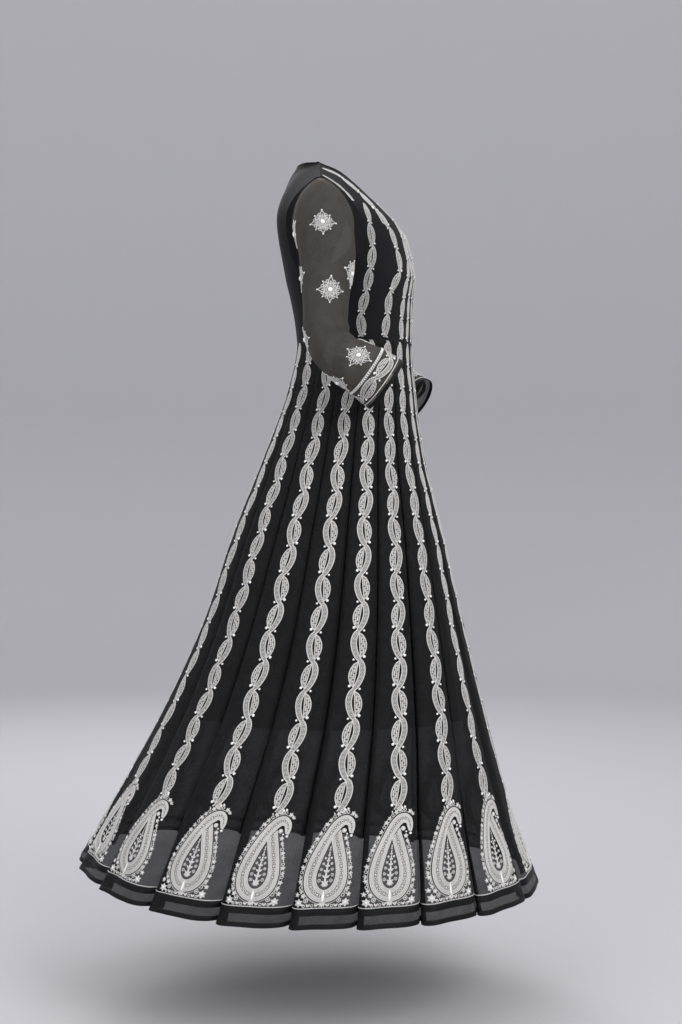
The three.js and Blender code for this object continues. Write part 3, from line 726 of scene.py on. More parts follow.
def bodice_column(place, on_back):
    """The curve of the bodice from the waist seam to its top edge, at 61 even steps."""
    top = top_edge(place)
    middle = HALF_RING - place if on_back else place
    fan = FAN_BACK if on_back else FAN_FRONT
    fanned = np.interp(place, fan[:, 0], fan[:, 1])
    points = [ring_point(z, place + (fanned - place) * share, 0.0)
              for z, share in FAN_HEIGHTS if z < top[2] - 5]
    if middle <= SHOULDER_END:
        points.append(table_point(FULL_BACK if on_back else FULL_FRONT, place))
        points.append(table_point(ROUND_BACK if on_back else ROUND_FRONT, place))
    points.append(top)
    dense = curve_at(np.array(points), np.linspace(0, 1, 160))
    run = np.concatenate([[0], np.cumsum(np.linalg.norm(np.diff(dense, axis=0), axis=1))])
    at = np.linspace(0, run[-1], 61)
    return np.stack([np.interp(at, run, dense[:, k]) for k in range(3)], axis=-1)


UP = np.linspace(0, 1, 61)
FRONT_PLACES = np.concatenate([np.linspace(0, 4.4, 67), np.linspace(4.4, 5, 16)[1:]])
BACK_PLACES = np.concatenate([np.linspace(5, 5.6, 16), np.linspace(5.6, 10, 67)[1:]])
BODICE_FRONT = np.stack([bodice_column(float(p), False) for p in FRONT_PLACES])
BODICE_BACK = np.stack([bodice_column(float(p), True) for p in BACK_PLACES])


def bodice_point(place, up):
    """Points of the front bodice at a waist place, a share `up` its column; left is negative."""
    place, up = np.broadcast_arrays(np.asarray(place, float), np.asarray(up, float))
    column = np.interp(np.abs(place), FRONT_PLACES, np.arange(len(FRONT_PLACES)))
    points = sample(BODICE_FRONT, np.arange(len(FRONT_PLACES)), UP, column, up)
    return points * np.stack([np.where(place < 0, -1, 1), np.ones_like(up), np.ones_like(up)], -1)


print("bodice columns:", len(BODICE_FRONT) + len(BODICE_BACK))

# %% Build the bodice


def bodice_panel(name, columns):
    """A bodice piece from its right-hand columns, ordered clockwise seen from above."""
    right = columns.transpose(1, 0, 2)[::-1]
    left = mirror(right)[:, ::-1]
    front = "front" in name
    grid = np.concatenate([left[:, :-1], right] if front else [right, left[:, 1:]], axis=1)
    u = np.cumsum(np.linalg.norm(np.diff(grid, axis=1, prepend=grid[:, :1]), axis=2), axis=1)
    v = np.cumsum(np.linalg.norm(np.diff(grid, axis=0, prepend=grid[:1]), axis=2), axis=0)
    uvs = np.stack([u - u[:, u.shape[1] // 2][:, None], -v], axis=-1)
    made = panel("cloth_" + name, grid, [BODICE], uvs)
    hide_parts(name)
    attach(made, "root")
    return made


bodice_front = bodice_panel("bodice_front", BODICE_FRONT)
bodice_back = bodice_panel("bodice_back", BODICE_BACK)
print("bodice:", bodice_front.name, bodice_back.name)

# %% [markdown]
# The neckline is finished with a narrow bias binding. It is a flat tube swept round the
# edge, because folded bias cloth has two rounded lips and no sharp rim.

# %% Neck binding
BINDING_WIDTH, BINDING_THICK = 4.0, 1.7
places = np.concatenate([np.linspace(0, NECK_END, 40), np.linspace(10 - NECK_END, 10, 30)[1:]])
edges, directions = [], []
for place in places:
    on_back = place > SIDE_SEAM
    column = bodice_column(float(place), bool(on_back))
    edges.append(column[-1])
    directions.append(column[-1] - column[-3])
edges, directions = np.array(edges), np.array(directions)
for _ in range(4):
    directions[1:-1] = (directions[:-2] + 2 * directions[1:-1] + directions[2:]) / 4
edges = np.concatenate([edges, mirror(edges[1:-1])[::-1]])
directions = np.concatenate([directions, mirror(directions[1:-1])[::-1]])
directions /= np.linalg.norm(directions, axis=1, keepdims=True)
tangents = np.roll(edges, -1, axis=0) - np.roll(edges, 1, axis=0)
outward = np.cross(tangents, directions)
outward /= np.linalg.norm(outward, axis=1, keepdims=True)
angle = np.linspace(0, 2 * math.pi, 14, endpoint=False)
middle = edges + directions * (BINDING_WIDTH / 2 - 0.2)
tube = (middle[:, None] + directions[:, None] * (BINDING_WIDTH / 2 * np.sin(angle))[None, :, None]
        + outward[:, None] * (BINDING_THICK / 2 * np.cos(angle))[None, :, None])
tube = np.concatenate([tube, tube[:1]])
run = np.cumsum(np.linalg.norm(np.diff(tube[:, 0], axis=0, prepend=tube[:1, 0]), axis=1))
tube_uv = np.stack([np.repeat(run[:, None], 14, 1), np.repeat(angle[None] * 1.5, len(run), 0)], -1)
binding = add_object("satin_neck_binding", tube.reshape(-1, 3) * MM,
                     [grid_faces(len(tube), 14, closed=True)], [SATIN], tube_uv.reshape(-1, 2))
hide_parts("neck_binding")
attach(binding, "root")
print("binding length:", round(float(run[-1])), "mm")

# %% [markdown]
# A sleeve is a tube drawn through rings that follow the bent arm. Its first ring is the
# armhole itself, so that the seam meets the bodice all round, and small creases gather on
# the inside of the elbow, where sheer cloth always breaks.

# %% Sleeves
# middle of the ring x, y, z, the way it faces, half sizes front to back and outside to inside
SLEEVE_RINGS = np.array([
    (-173, -25, -124, -0.964, 0, -0.264, 51, 64),
    (-187, -30, -145, -0.867, 0, -0.498, 50, 54),
    (-196.5, -36, -178, -0.63, 0, -0.776, 47, 44.5),
    (-202, -36, -218, -0.335, 0, -0.942, 41, 40),
    (-210, -36, -265, -0.08, -0.02, -0.997, 36, 38),
    (-216, -38, -300, 0.02, -0.15, -0.99, 36, 37.5),
    (-217, -48, -330, 0.12, -0.46, -0.88, 38, 38),
    (-211, -70, -349, 0.25, -0.7, -0.67, 41, 39.5),
    (-201, -99, -366, 0.3, -0.77, -0.56, 43.5, 41),
])
CUFF_LENGTH, CUFF_FLARE, ARM_COLUMNS = 42.0, 1.08, 96


def arm_ring(row, forward_by=0.0, grow=1.0):
    """A ring of the sleeve: 0 is its outer side, and the angle turns towards the back."""
    middle, axis = row[:3], row[3:6] / np.linalg.norm(row[3:6])
    outward = np.array([-1.0, 0, 0]) - axis * -axis[0]
    outward /= np.linalg.norm(outward)
    forward = np.cross(outward, axis)
    angle = -2 * math.pi * np.arange(ARM_COLUMNS) / ARM_COLUMNS
    return (middle + axis * forward_by + outward * (row[7] * grow * np.cos(angle))[:, None]
            + forward * (row[6] * grow * np.sin(angle))[:, None])


arm_start = armhole_point(np.arange(ARM_COLUMNS) / ARM_COLUMNS) - np.array([0.3, 0, 0])
rings = np.stack([arm_start] + [arm_ring(row) for row in SLEEVE_RINGS])
ARM_TABLE = curve_at(rings, np.linspace(0, 1, 91))
ARM_TABLE = np.concatenate([ARM_TABLE, ARM_TABLE[:, :1]], axis=1)
ARM_DOWN, ARM_ROUND = np.linspace(0, 1, 91), np.linspace(0, 1, ARM_COLUMNS + 1)
cuff_rows = np.stack([arm_ring(SLEEVE_RINGS[-1], 0.3 + share * CUFF_LENGTH,
                               1 + (CUFF_FLARE - 1) * share) for share in np.linspace(0, 1, 13)])
CUFF_TABLE = np.concatenate([cuff_rows, cuff_rows[:, :1]], axis=1)
CUFF_DOWN = np.linspace(0, 1, 13)


def outward_of(points):
    """Unit normals of a closed tube grid, rows down the arm, pointing out of it."""
    down = np.gradient(points, axis=0)
    around = np.roll(points, -1, axis=1) - np.roll(points, 1, axis=1)
    normal = np.cross(around, down)
    return normal / np.maximum(np.linalg.norm(normal, axis=-1, keepdims=True), 1e-9)


def sleeve_creases(down, turn):
    """Depth of the creases: fine ones at the crook of the elbow, slow ones down the arm."""
    crook = np.exp(-((down - 0.74) / 0.11) ** 2) * (0.5 - 0.5 * np.cos(2 * math.pi * (turn - 0.25)))
    fine = np.sin((down * 62 + turn * 5.0)) * 1.5 * crook
    slow = np.sin(turn * 2 * math.pi * 2 + down * 9) * 1.1 * np.sin(math.pi * down) ** 0.6
    return fine + slow


ends = np.clip(np.minimum(ARM_DOWN, 1 - ARM_DOWN) / 0.06, 0, 1)[:, None]
arm_normals = outward_of(ARM_TABLE[:, :-1])
creased = ARM_TABLE[:, :-1] + arm_normals * (
    sleeve_creases(ARM_DOWN[:, None], ARM_ROUND[None, :-1]) * ends)[..., None]
ARM_TABLE = np.concatenate([creased, creased[:, :1]], axis=1)


def tube_uvs(points):
    u = np.cumsum(np.linalg.norm(np.diff(points, axis=1, prepend=points[:, :1]), axis=2), axis=1)
    v = np.cumsum(np.linalg.norm(np.diff(points, axis=0, prepend=points[:1]), axis=2), axis=0)
    return np.stack([u, -v], axis=-1)


sleeves, cuffs = {}, {}
for side, name in ((1, "right"), (-1, "left")):
    for table, node, material, store, slot in (
            (ARM_TABLE, "sleeve_" + name, SLEEVE_GEORGETTE_PAINTED_SHEEN, sleeves, "sheer_cloth"),
            (CUFF_TABLE, "cuff_" + name, SLEEVE_GEORGETTE_PAINTED_SHEEN, cuffs, "cuff_cloth")):
        points = table if side > 0 else mirror(table)[:, ::-1]
        made = panel("sheer_" + node, points, [material], tube_uvs(points))
        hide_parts(node)
        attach(made, "root")
        store[name] = made
print("sleeves and cuffs:", len(sleeves) + len(cuffs))

# %% [markdown]
# Thread work is drawn flat first, in millimetres, as an embroiderer draws it on paper,
# and is then laid on the cloth. A cord is a low rounded ridge, a ground is a filled
# shape, and a bead is a small dome. Meshes from arrays are used because the same motif is
# laid hundreds of times, each a little wider or longer, on cloth that curves.

# %% Stitches on paper
CORD_FACE, GROUND_FACE, BEAD_FACE, EYELET_FACE = 0, 1, 2, 3


class Stitches:
    """Motifs in their own flat frame: x across, y up, h off the cloth, all in millimetres."""

    def __init__(self):
        self.points, self.uvs, self.tris, self.kinds, self.count = [], [], [], [], 0

    def add(self, points, uvs, tris, kind):
        self.points.append(np.asarray(points, float))
        self.uvs.append(np.asarray(uvs, float))
        self.tris.append(np.asarray(tris) + self.count)
        self.kinds.append(np.full(len(tris), kind))
        self.count += len(points)

    def strip(self, rows, heights, kind, closed=False):
        """A strip from several lines (rows, n, 2) side by side at the given heights."""
        rows = np.asarray(rows, float)
        lines, n = rows.shape[:2]
        points = np.concatenate([rows, np.broadcast_to(
            np.asarray(heights, float).reshape(lines, -1, 1), (lines, n, 1))], axis=-1)
        run = np.concatenate([[0], np.cumsum(np.linalg.norm(np.diff(rows[lines // 2], axis=0),
                                                            axis=1))])
        side = np.linspace(-1, 1, lines) * 1.2
        uvs = np.stack([np.broadcast_to(run, (lines, n)),
                        np.broadcast_to(side[:, None], (lines, n))], axis=-1)
        quads = grid_faces(lines, n, closed)
        tris = np.concatenate([quads[:, [0, 3, 2]], quads[:, [0, 2, 1]]])
        self.add(points.reshape(-1, 3), uvs.reshape(-1, 2), tris, kind)

    def cord(self, line, width, height=0.8, base=0.0, closed=False, kind=CORD_FACE):
        """A rounded ridge along a line; width may be one number or one for each point."""
        line = np.asarray(line, float)
        ahead = np.roll(line, -1, 0) if closed else np.concatenate([line[1:], line[-1:]])
        before = np.roll(line, 1, 0) if closed else np.concatenate([line[:1], line[:-1]])
        way = ahead - before
        way /= np.maximum(np.linalg.norm(way, axis=1, keepdims=True), 1e-6)
        normal = np.stack([-way[:, 1], way[:, 0]], axis=1) * np.reshape(width, (-1, 1)) / 2
        self.strip([line + normal, line, line - normal], [base, base + height, base], kind, closed)

    def leaf(self, x, y, length, width, angle, height=0.7, kind=CORD_FACE, base=0.0):
        """A pointed leaf from its stem at x, y, growing along `angle` in degrees."""
        t = np.linspace(0, 1, 6)
        way = np.array([math.cos(math.radians(angle)), math.sin(math.radians(angle))])
        line = np.array([x, y]) + t[:, None] * length * way
        self.cord(line, np.maximum(width * np.sin(math.pi * t ** 0.85), 0.15), height, base,
                  kind=kind)

    def ring(self, x, y, radius, width=1.1, height=0.7, sides=9, base=0.0):
        turn = 2 * math.pi * np.arange(sides) / sides
        self.cord(np.stack([x + radius * np.cos(turn), y + radius * np.sin(turn)], 1), width,
                  height, base, closed=True)

    def bead(self, x, y, radius, height=None, kind=BEAD_FACE):
        height = radius * 0.8 if height is None else height
        turn = 2 * math.pi * np.arange(8) / 8
        circle = np.stack([np.cos(turn), np.sin(turn)], 1)
        points = np.concatenate([
            np.c_[circle * radius + (x, y), np.zeros(8)],
            np.c_[circle * radius * 0.75 + (x, y), np.full(8, height * 0.7)],
            [[x, y, height]]])
        i, j = np.arange(8), (np.arange(8) + 1) % 8
        tris = np.concatenate([np.stack([i, j, j + 8], 1), np.stack([i, j + 8, i + 8], 1),
                               np.stack([i + 8, j + 8, np.full(8, 16)], 1)])
        self.add(points, points[:, :2], tris, kind)

    def eyelet(self, x, y, radius, base):
        """A small dark hole in the thread work."""
        turn = 2 * math.pi * np.arange(6) / 6
        points = np.stack([x + radius * np.cos(turn), y + radius * np.sin(turn),
                           np.full(6, base)], 1)
        self.add(points, points[:, :2], [[0, i, i + 1] for i in range(1, 5)], EYELET_FACE)

    def star(self, x, y, radius, petals=5, turn=90.0, core=True):
        """A small flower of pointed petals round a bead."""
        for k in range(petals):
            self.leaf(x, y, radius, radius * 0.62, turn + k * 360 / petals)
        if core:
            self.bead(x, y, radius * 0.26, radius * 0.3 + 0.5)

    def arrays(self):
        return (np.concatenate(self.points), np.concatenate(self.uvs), np.concatenate(self.tris),
                np.concatenate(self.kinds))


def between(outer, inner, share):
    """A line a share of the way from one edge of a band to the other."""
    return outer + (inner - outer) * share


# %% [markdown]
# The vine is one unit over and over, turned about at every node: a curved band on one
# side, a filled leaf in its hollow on the other, and a bead at each foot. Rows of cord lie
# on a ground of thread, and small dark eyelets are left open in both.

# %% One unit of the vine
UNIT_WIDTH, UNIT_LENGTH = 26.0, 46.0


def vine_unit():
    """The unit with its leaf on the left, from its node at y = 0 down to the next one."""
    work = Stitches()
    t = np.linspace(0, 1, 15)
    bulge = np.sin(math.pi * t)
    y = -UNIT_LENGTH * (t * 1.06 - 0.03)
    lean = 2.4 * np.cos(math.pi * t)
    outer = np.stack([10.6 * bulge ** 0.6 + 2.0 + lean, y], 1)
    inner = np.stack([7.4 * bulge ** 0.85 - 4.6 + lean, y], 1)
    edges = [between(outer, inner, f) for f in (0, 0.14, 0.86, 1)]
    work.strip(edges, [0, 0.35, 0.35, 0], GROUND_FACE)
    for share, width in ((0.1, 1.7), (0.9, 1.5)):
        work.cord(between(outer, inner, share), width, 0.8, 0.25)
    for share in (0.16, 0.3, 0.44, 0.58, 0.72, 0.86):
        spot = between(outer, inner, 0.5)[int(round(share * 14))]
        work.ring(spot[0], spot[1], 1.5, 1.0, 0.7, 7, 0.3)
        work.eyelet(spot[0], spot[1], 0.9, 0.9)
    t = np.linspace(0, 1, 12)
    y = -3.0 - (UNIT_LENGTH - 7.0) * t
    left = np.stack([0.9 - 11.0 * np.sin(math.pi * t ** 0.95) ** 0.6 - 4.2 * t, y], 1)
    right = np.stack([0.9 + 1.0 * np.sin(math.pi * t) - 4.6 * t, y], 1)
    edges = [between(left, right, f) for f in (0, 0.1, 0.9, 1)]
    work.strip(edges, [0, 0.4, 0.4, 0], GROUND_FACE)
    for share, width in ((0.07, 1.7), (0.93, 1.5)):
        work.cord(between(left, right, share), width, 0.85, 0.3)
    for share, first, last in ((0.36, 2, 10), (0.66, 2, 10)):
        work.cord(between(left, right, share)[first:last], 1.7, 0.55, 0.35)
    for share, step in ((0.5, 3), (0.24, 4), (0.74, 5), (0.5, 6), (0.26, 7), (0.7, 8)):
        spot = between(left, right, share)[step]
        work.eyelet(spot[0], spot[1], 1.25, 1.05)
    work.bead(-9.4, -UNIT_LENGTH + 5.2, 2.3)
    work.bead(6.4, -UNIT_LENGTH + 0.6, 1.8)
    work.ring(3.6, -1.2, 2.0, 1.2, 0.9)
    return work.arrays()


UNIT = vine_unit()
print("vine unit:", len(UNIT[2]), "triangles")


def lay_units(stops, widths, lengths, centre, first_side=1):
    """Copies of the unit down a line: each starts at a stop and turns about from the last."""
    points, uvs, tris, kinds = UNIT
    blocks = []
    for k, (stop, width, length) in enumerate(zip(stops, widths, lengths)):
        side = first_side if k % 2 == 0 else -first_side
        block = points.copy()
        block[:, 0] = block[:, 0] * side * width / UNIT_WIDTH + centre(k)
        block[:, 1] = stop + block[:, 1] * length / UNIT_LENGTH
        blocks.append((block, uvs, tris if side > 0 else tris[:, ::-1], kinds))
    return blocks


def joined(blocks):
    """Several blocks of stitches as one."""
    shift = np.cumsum([0] + [len(b[0]) for b in blocks[:-1]])
    return (np.concatenate([b[0] for b in blocks]), np.concatenate([b[1] for b in blocks]),
            np.concatenate([b[2] + s for b, s in zip(blocks, shift)]),
            np.concatenate([b[3] for b in blocks]))


# %% [markdown]
# The paisley is a thick curled band round a hollow drop. Its two edges are set down as a
# short table of points, smoothed into curves, and the rows of cord run between them at
# even shares, so that they crowd and spread with the band as laid thread does.

# %% The paisley
# outer edge x, y and inner edge x, y of the band, from the top of its front arm round
PAISLEY_BAND = np.array([
    (17.6, 124, 3.5, 106), (21.5, 111, 6, 97), (28.5, 89, 11, 80), (35.5, 62.5, 16.5, 61),
    (38, 40, 18, 45), (33.5, 20, 14.5, 31), (20, 5, 8.5, 24), (1, 0, 1, 21.5),
    (-17, 6, -6.5, 24.5), (-30, 20, -12.5, 33), (-35, 41, -14.5, 47), (-30.5, 70, -9.5, 68),
    (-19.5, 97, -2, 91), (-8, 119, 5, 108), (3, 136, 12, 119), (16, 146.5, 19, 128),
    (28.5, 147.5, 24.5, 132), (38, 139, 29, 130.5), (40.5, 127, 31, 125), (38, 116.5, 34, 118),
])
PAISLEY_SCALE, PAISLEY_SHIFT = 0.9, -9.0
PAISLEY_TALL = 150 * PAISLEY_SCALE


def paisley():
    work = Stitches()
    t = np.linspace(0, 1, 76)
    outer, inner = curve_at(PAISLEY_BAND[:, :2], t), curve_at(PAISLEY_BAND[:, 2:], t)
    work.strip([between(outer, inner, f) for f in (0, 0.08, 0.92, 1)], [0, 0.5, 0.5, 0],
               GROUND_FACE)
    for share in (0.05, 0.17, 0.29, 0.71, 0.83, 0.95):
        work.cord(between(outer, inner, share), 2.1, 0.85, 0.4)
    middle = between(outer, inner, 0.5)
    run = np.concatenate([[0], np.cumsum(np.linalg.norm(np.diff(middle, axis=0), axis=1))])
    spots = np.arange(4, run[-1] - 4, 6.4)
    for k, spot in enumerate(spots):
        x, y = (np.interp(spot, run, middle[:, i]) for i in range(2))
        if k % 3 == 2:
            work.bead(x, y, 2.0, 1.5, CORD_FACE)
        else:
            work.ring(x, y, 2.0, 1.6, 0.8, 8, 0.4)
            work.eyelet(x, y, 1.2, 0.75)
    # the bead and hook under the curl
    work.ring(23.5, 122, 3.0, 2.2, 1.2, 10)
    work.bead(23.5, 122, 1.9)
    work.bead(36.5, 113.5, 2.4)
    work.bead(29, 116.5, 1.6)
    # the spray that fills the hollow
    for k in range(7):
        y = 36 + k * 9.5
        size = 9.5 - k * 0.8
        x = 1.2 + k * 0.42
        work.leaf(x, y - 3, size + 2, size * 0.42, 90 - k)
        for side in (-1, 1):
            reach = (10.2, 10.8, 9.2, 7.0, 5.0, 3.4, 2.0)[k]
            work.leaf(x, y - 4, reach * 0.8, 3.4, 90 - side * 52)
            if k < 5:
                work.ring(x + side * reach, y + 1.5, 2.5 - k * 0.25, 1.2, 0.7, 8)
                work.bead(x + side * reach, y + 1.5, 0.8, 0.7)
    for angle in (210, 240, 270, 300, 330):
        work.leaf(1.2, 33, 7.5, 3.6, angle)
    # the bud that crosses the foot of the band
    work.leaf(1, 0, 21, 4.5, 90, 1.2, BEAD_FACE, 1.0)
    for angle in (200, 235, 270, 305, 340):
        work.leaf(1, -0.5, 8, 3.4, angle)
    # sprays up both flanks: leaves and small flowers beside the outer edge
    flank = np.concatenate([curve_at(PAISLEY_BAND[:, :2], np.linspace(0.055, 0.90, 120))])
    way = np.gradient(flank, axis=0)
    away = np.stack([way[:, 1], -way[:, 0]], 1)
    away /= np.linalg.norm(away, axis=1, keepdims=True)
    away *= np.sign(np.sum(away * (flank - (1, 50)), axis=1))[:, None]
    line = flank + away * 6.2
    run = np.concatenate([[0], np.cumsum(np.linalg.norm(np.diff(line, axis=0), axis=1))])
    for k, spot in enumerate(np.arange(2, run[-1] - 2, 8.6)):
        i = int(np.searchsorted(run, spot))
        (x, y), (ax, ay) = line[i], away[i]
        if y < 12:
            continue
        lean = math.degrees(math.atan2(ay, ax))
        if k % 3 == 0:
            work.star(x, y, 4.6, 5, lean)
        elif k % 3 == 1:
            for turn in (-38, 0, 38):
                work.leaf(x - ax * 2.5, y - ay * 2.5, 6.6, 2.8, lean + turn)
        else:
            work.ring(x, y, 2.3, 1.4, 0.8, 8)
            work.leaf(x, y + 3, 5.2, 2.6, 90 + 20 * np.sign(x))
    work.cord(flank[6:114] + away[6:114] * 2.6, 0.9, 0.6)
    # the corners and the row along the foot
    for side in (-1, 1):
        work.star(1 + side * 40, 0.5, 7.6, 6, 90)
        work.ring(1 + side * 28, 4.5, 3.4, 1.6, 0.9)
        work.bead(1 + side * 28, 4.5, 1.3)
        work.ring(1 + side * 34, 13, 2.6, 1.4, 0.8)
        work.star(1 + side * 44, 14, 4.6, 5, 90)
        work.leaf(1 + side * 30, -4, 8, 3.4, 90 - side * 70)
        for k, x in enumerate((10, 17, 24, 31)):
            if k % 2:
                work.ring(1 + side * x, -4.5, 2.2, 1.3, 0.7, 8)
            else:
                work.leaf(1 + side * x, -6.5, 6.5, 3.0, 90 - side * 25)
                work.leaf(1 + side * x, -6.5, 6.5, 3.0, 90 + side * 35)
    points, *rest = work.arrays()
    return (points * (PAISLEY_SCALE, PAISLEY_SCALE, 1), *rest)


PAISLEY = paisley()
print("paisley:", len(PAISLEY[2]), "triangles")

# %% [markdown]
# Laying a flat motif on the skirt means reading its height above the hem as a length
# along the kali, and its width as a share of the kali's own width there. Each point then
# stands off the cloth along the cloth's normal by its height in the thread.

# %% Lay the thread work on the kalis
STITCH_UP, FOOT_UP, OFF_CLOTH = 32.5, 40.5, 0.35


def on_kali(number, flat):
    """Flat points (x towards the front, y above the hem, h) on a right-hand kali."""
    zs, run = up_the_kali(number)

    def place(x, y):
        z = np.interp(y, run, zs)
        return kali_point(number, -x / half_width(number, z), z)

    x, y, h = flat.T
    here, step = place(x, y), 0.5
    right, above = place(x + step, y) - here, place(x, y + step) - here
    normal = np.cross(right, above)
    normal /= np.maximum(np.linalg.norm(normal, axis=1, keepdims=True), 1e-9)
    outward = here - np.array([0.0, here[:, 1].mean() * 0.2, 0.0])
    outward[:, 2] = 0
    normal *= np.where(np.sum(normal * outward, axis=1) < 0, -1, 1)[:, None]
    return here + normal * (h + OFF_CLOTH)[:, None]


def thread_object(name, points, block, flipped=False):
    """A joined piece of thread work; it rides with the gown."""
    _, uvs, tris, kinds = block
    made = add_object(name, points * MM, [tris[:, ::-1] if flipped else tris], THREADS, uvs, kinds)
    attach(made, "root")
    return made


def vine_width(above_hem, total):
    """How wide the vine is: slim at the waist, full over the lower skirt."""
    return np.interp(total - above_hem, [0, 100, 190, 460, 1000], [18, 21, 24, 27.5, 29])


for number in range(11):
    _, run = up_the_kali(number)
    total = run[-1]
    foot = FOOT_UP + PAISLEY_TALL + 6
    stops, at = [], total - 3
    while True:
        length = np.interp(total - at, [0, 120, 300, 1000], [38, 43, 46, 47])
        if at - length < foot - 12:
            break
        stops.append((at, length))
        at -= length
    stretch = (total - 3 - foot) / (total - 3 - at)
    lengths = [length * stretch for _, length in stops]
    starts = total - 3 - np.concatenate([[0], np.cumsum(lengths)[:-1]])
    blocks = lay_units(starts, [vine_width(s, total) for s in starts], lengths,
                       lambda k, n=len(stops): 4.0 * max(0, k - n + 3) / 3)
    link = Stitches()
    link.ring(9, foot - 2, 2.6, 1.4, 0.9)
    link.leaf(6, foot + 5, 9, 3.6, -50)
    link.leaf(4, foot + 3, 8, 3.4, -110)
    link.bead(14, foot + 2, 1.8)
    blocks.append(link.arrays())
    points, uvs, tris, kinds = PAISLEY
    blocks.append((points + (PAISLEY_SHIFT, FOOT_UP, 0), uvs, tris, kinds))
    block = joined(blocks)
    laid = on_kali(number, block[0])
    for node, side in kali_names(number):
        name = node.replace("kali_", "vine_and_paisley_")
        thread_object(name, laid if side > 0 else mirror(laid), block, side < 0)

# %% [markdown]
# The skirt's edge is finished in lines: a fine row of stitches, a black tape, a clear strip
# of the sheer cloth, and the black hem itself. A tape is cloth folded over the edge, so each
# one is a flat tube along the kali's own path, which takes it through every fold.

# %% Hem tapes and the stitched line
TAPES = [(21.0, 31.0), (0.3, 8.0)]
TAPE_OFF, LINE_WIDTH = 0.45, 1.3


def kali_path(number):
    return {0: FRONT_PATH, 10: BACK_PATH}.get(number, SIDE_PATH)


def kali_lines(number, ups):
    """Lines across a kali at heights above its hem, and the outward normals along them."""
    zs, run = up_the_kali(number)
    z = np.interp(np.asarray(ups, float), run, zs)
    lines, across = kali_grid(number, z, kali_path(number))
    higher, _ = kali_grid(number, z + 0.5, kali_path(number))
    normals = np.cross(higher - lines, np.gradient(lines, axis=1))
    normals /= np.maximum(np.linalg.norm(normals, axis=2, keepdims=True), 1e-9)
    return lines, normals, across


for number in range(11):
    tapes = []
    for low, high in TAPES:
        lines, normals, across = kali_lines(number, [low, (low + high) / 2, high])
        loop = np.concatenate([lines + normals * TAPE_OFF, (lines - normals * TAPE_OFF)[::-1]])
        tapes.append(np.concatenate([loop, loop[:1]]).transpose(1, 0, 2))
    lines, normals, _ = kali_lines(number, [STITCH_UP - LINE_WIDTH / 2, STITCH_UP,
                                            STITCH_UP + LINE_WIDTH / 2])
    ridge = lines + normals * np.array([0.3, 1.1, 0.3])[:, None, None]
    count = len(across)
    quads = grid_faces(count, 7)
    faces = [quads, quads + count * 7]
    run = np.cumsum(np.linalg.norm(np.diff(lines[1], axis=0, prepend=lines[1][:1]), axis=1))
    for node, side in kali_names(number):
        turn = (lambda p: p) if side > 0 else mirror
        points = np.concatenate([turn(tape).reshape(-1, 3) for tape in tapes])
        tape_uv = np.stack(np.meshgrid(np.arange(7) * 4.0, run), -1).reshape(-1, 2)
        uvs = np.concatenate([tape_uv, tape_uv])
        made = add_object(node.replace("kali_", "hem_tapes_"), points * MM, faces, [SATIN], uvs)
        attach(made, "root")
        line_uv = np.stack(np.meshgrid(run, [-1.0, 0.0, 1.0]), -1)
        row = panel(node.replace("kali_", "hem_stitches_"), turn(ridge), [CORD], line_uv)
        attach(row, "root")

# %% [markdown]
# The vines go on up the front of the bodice, narrower, and shape it: they bow round the
# bust, and the outer ones climb to the shoulder seam. Each strip is a line in the bodice's
# own two measures, so a motif stays on the cloth however the cloth curves.

# %% Strips on the bodice
# waist place and share up the bodice, from the waist to the top
BODICE_STRIPS = {
    "centre": [(0, 0.01), (0, 0.3), (0, 0.6), (0, 0.8), (0, 0.985)],
    "first": [(1.0, 0.01), (0.86, 0.16), (0.72, 0.33), (0.6, 0.52), (0.6, 0.75), (0.62, 0.985)],
    "second": [(1.74, 0.01), (1.66, 0.15), (1.6, 0.24), (1.4, 0.34), (1.15, 0.45), (1.05, 0.6),
               (1.15, 0.8), (1.3, 0.985)],
    "third": [(2.93, 0.01), (2.8, 0.16), (2.51, 0.28), (2.15, 0.41), (2.28, 0.51), (2.58, 0.57),
              (2.83, 0.65), (3.05, 0.76), (3.05, 0.88), (3.25, 0.985)],
    "fourth": [(4.14, 0.01), (4.14, 0.13), (4.1, 0.26), (4.08, 0.41), (3.98, 0.55), (3.8, 0.64),
               (3.6, 0.71)],
    "armhole": [(4.22, 0.77), (4.16, 0.83), (4.1, 0.9), (4.05, 0.985)],
}
STRIP_WIDTHS = {"centre": 14.0, "first": 14.5, "second": 16.0, "third": 17.0, "fourth": 17.0,
                "armhole": 8.0}
NODE_SPACING = 37.0


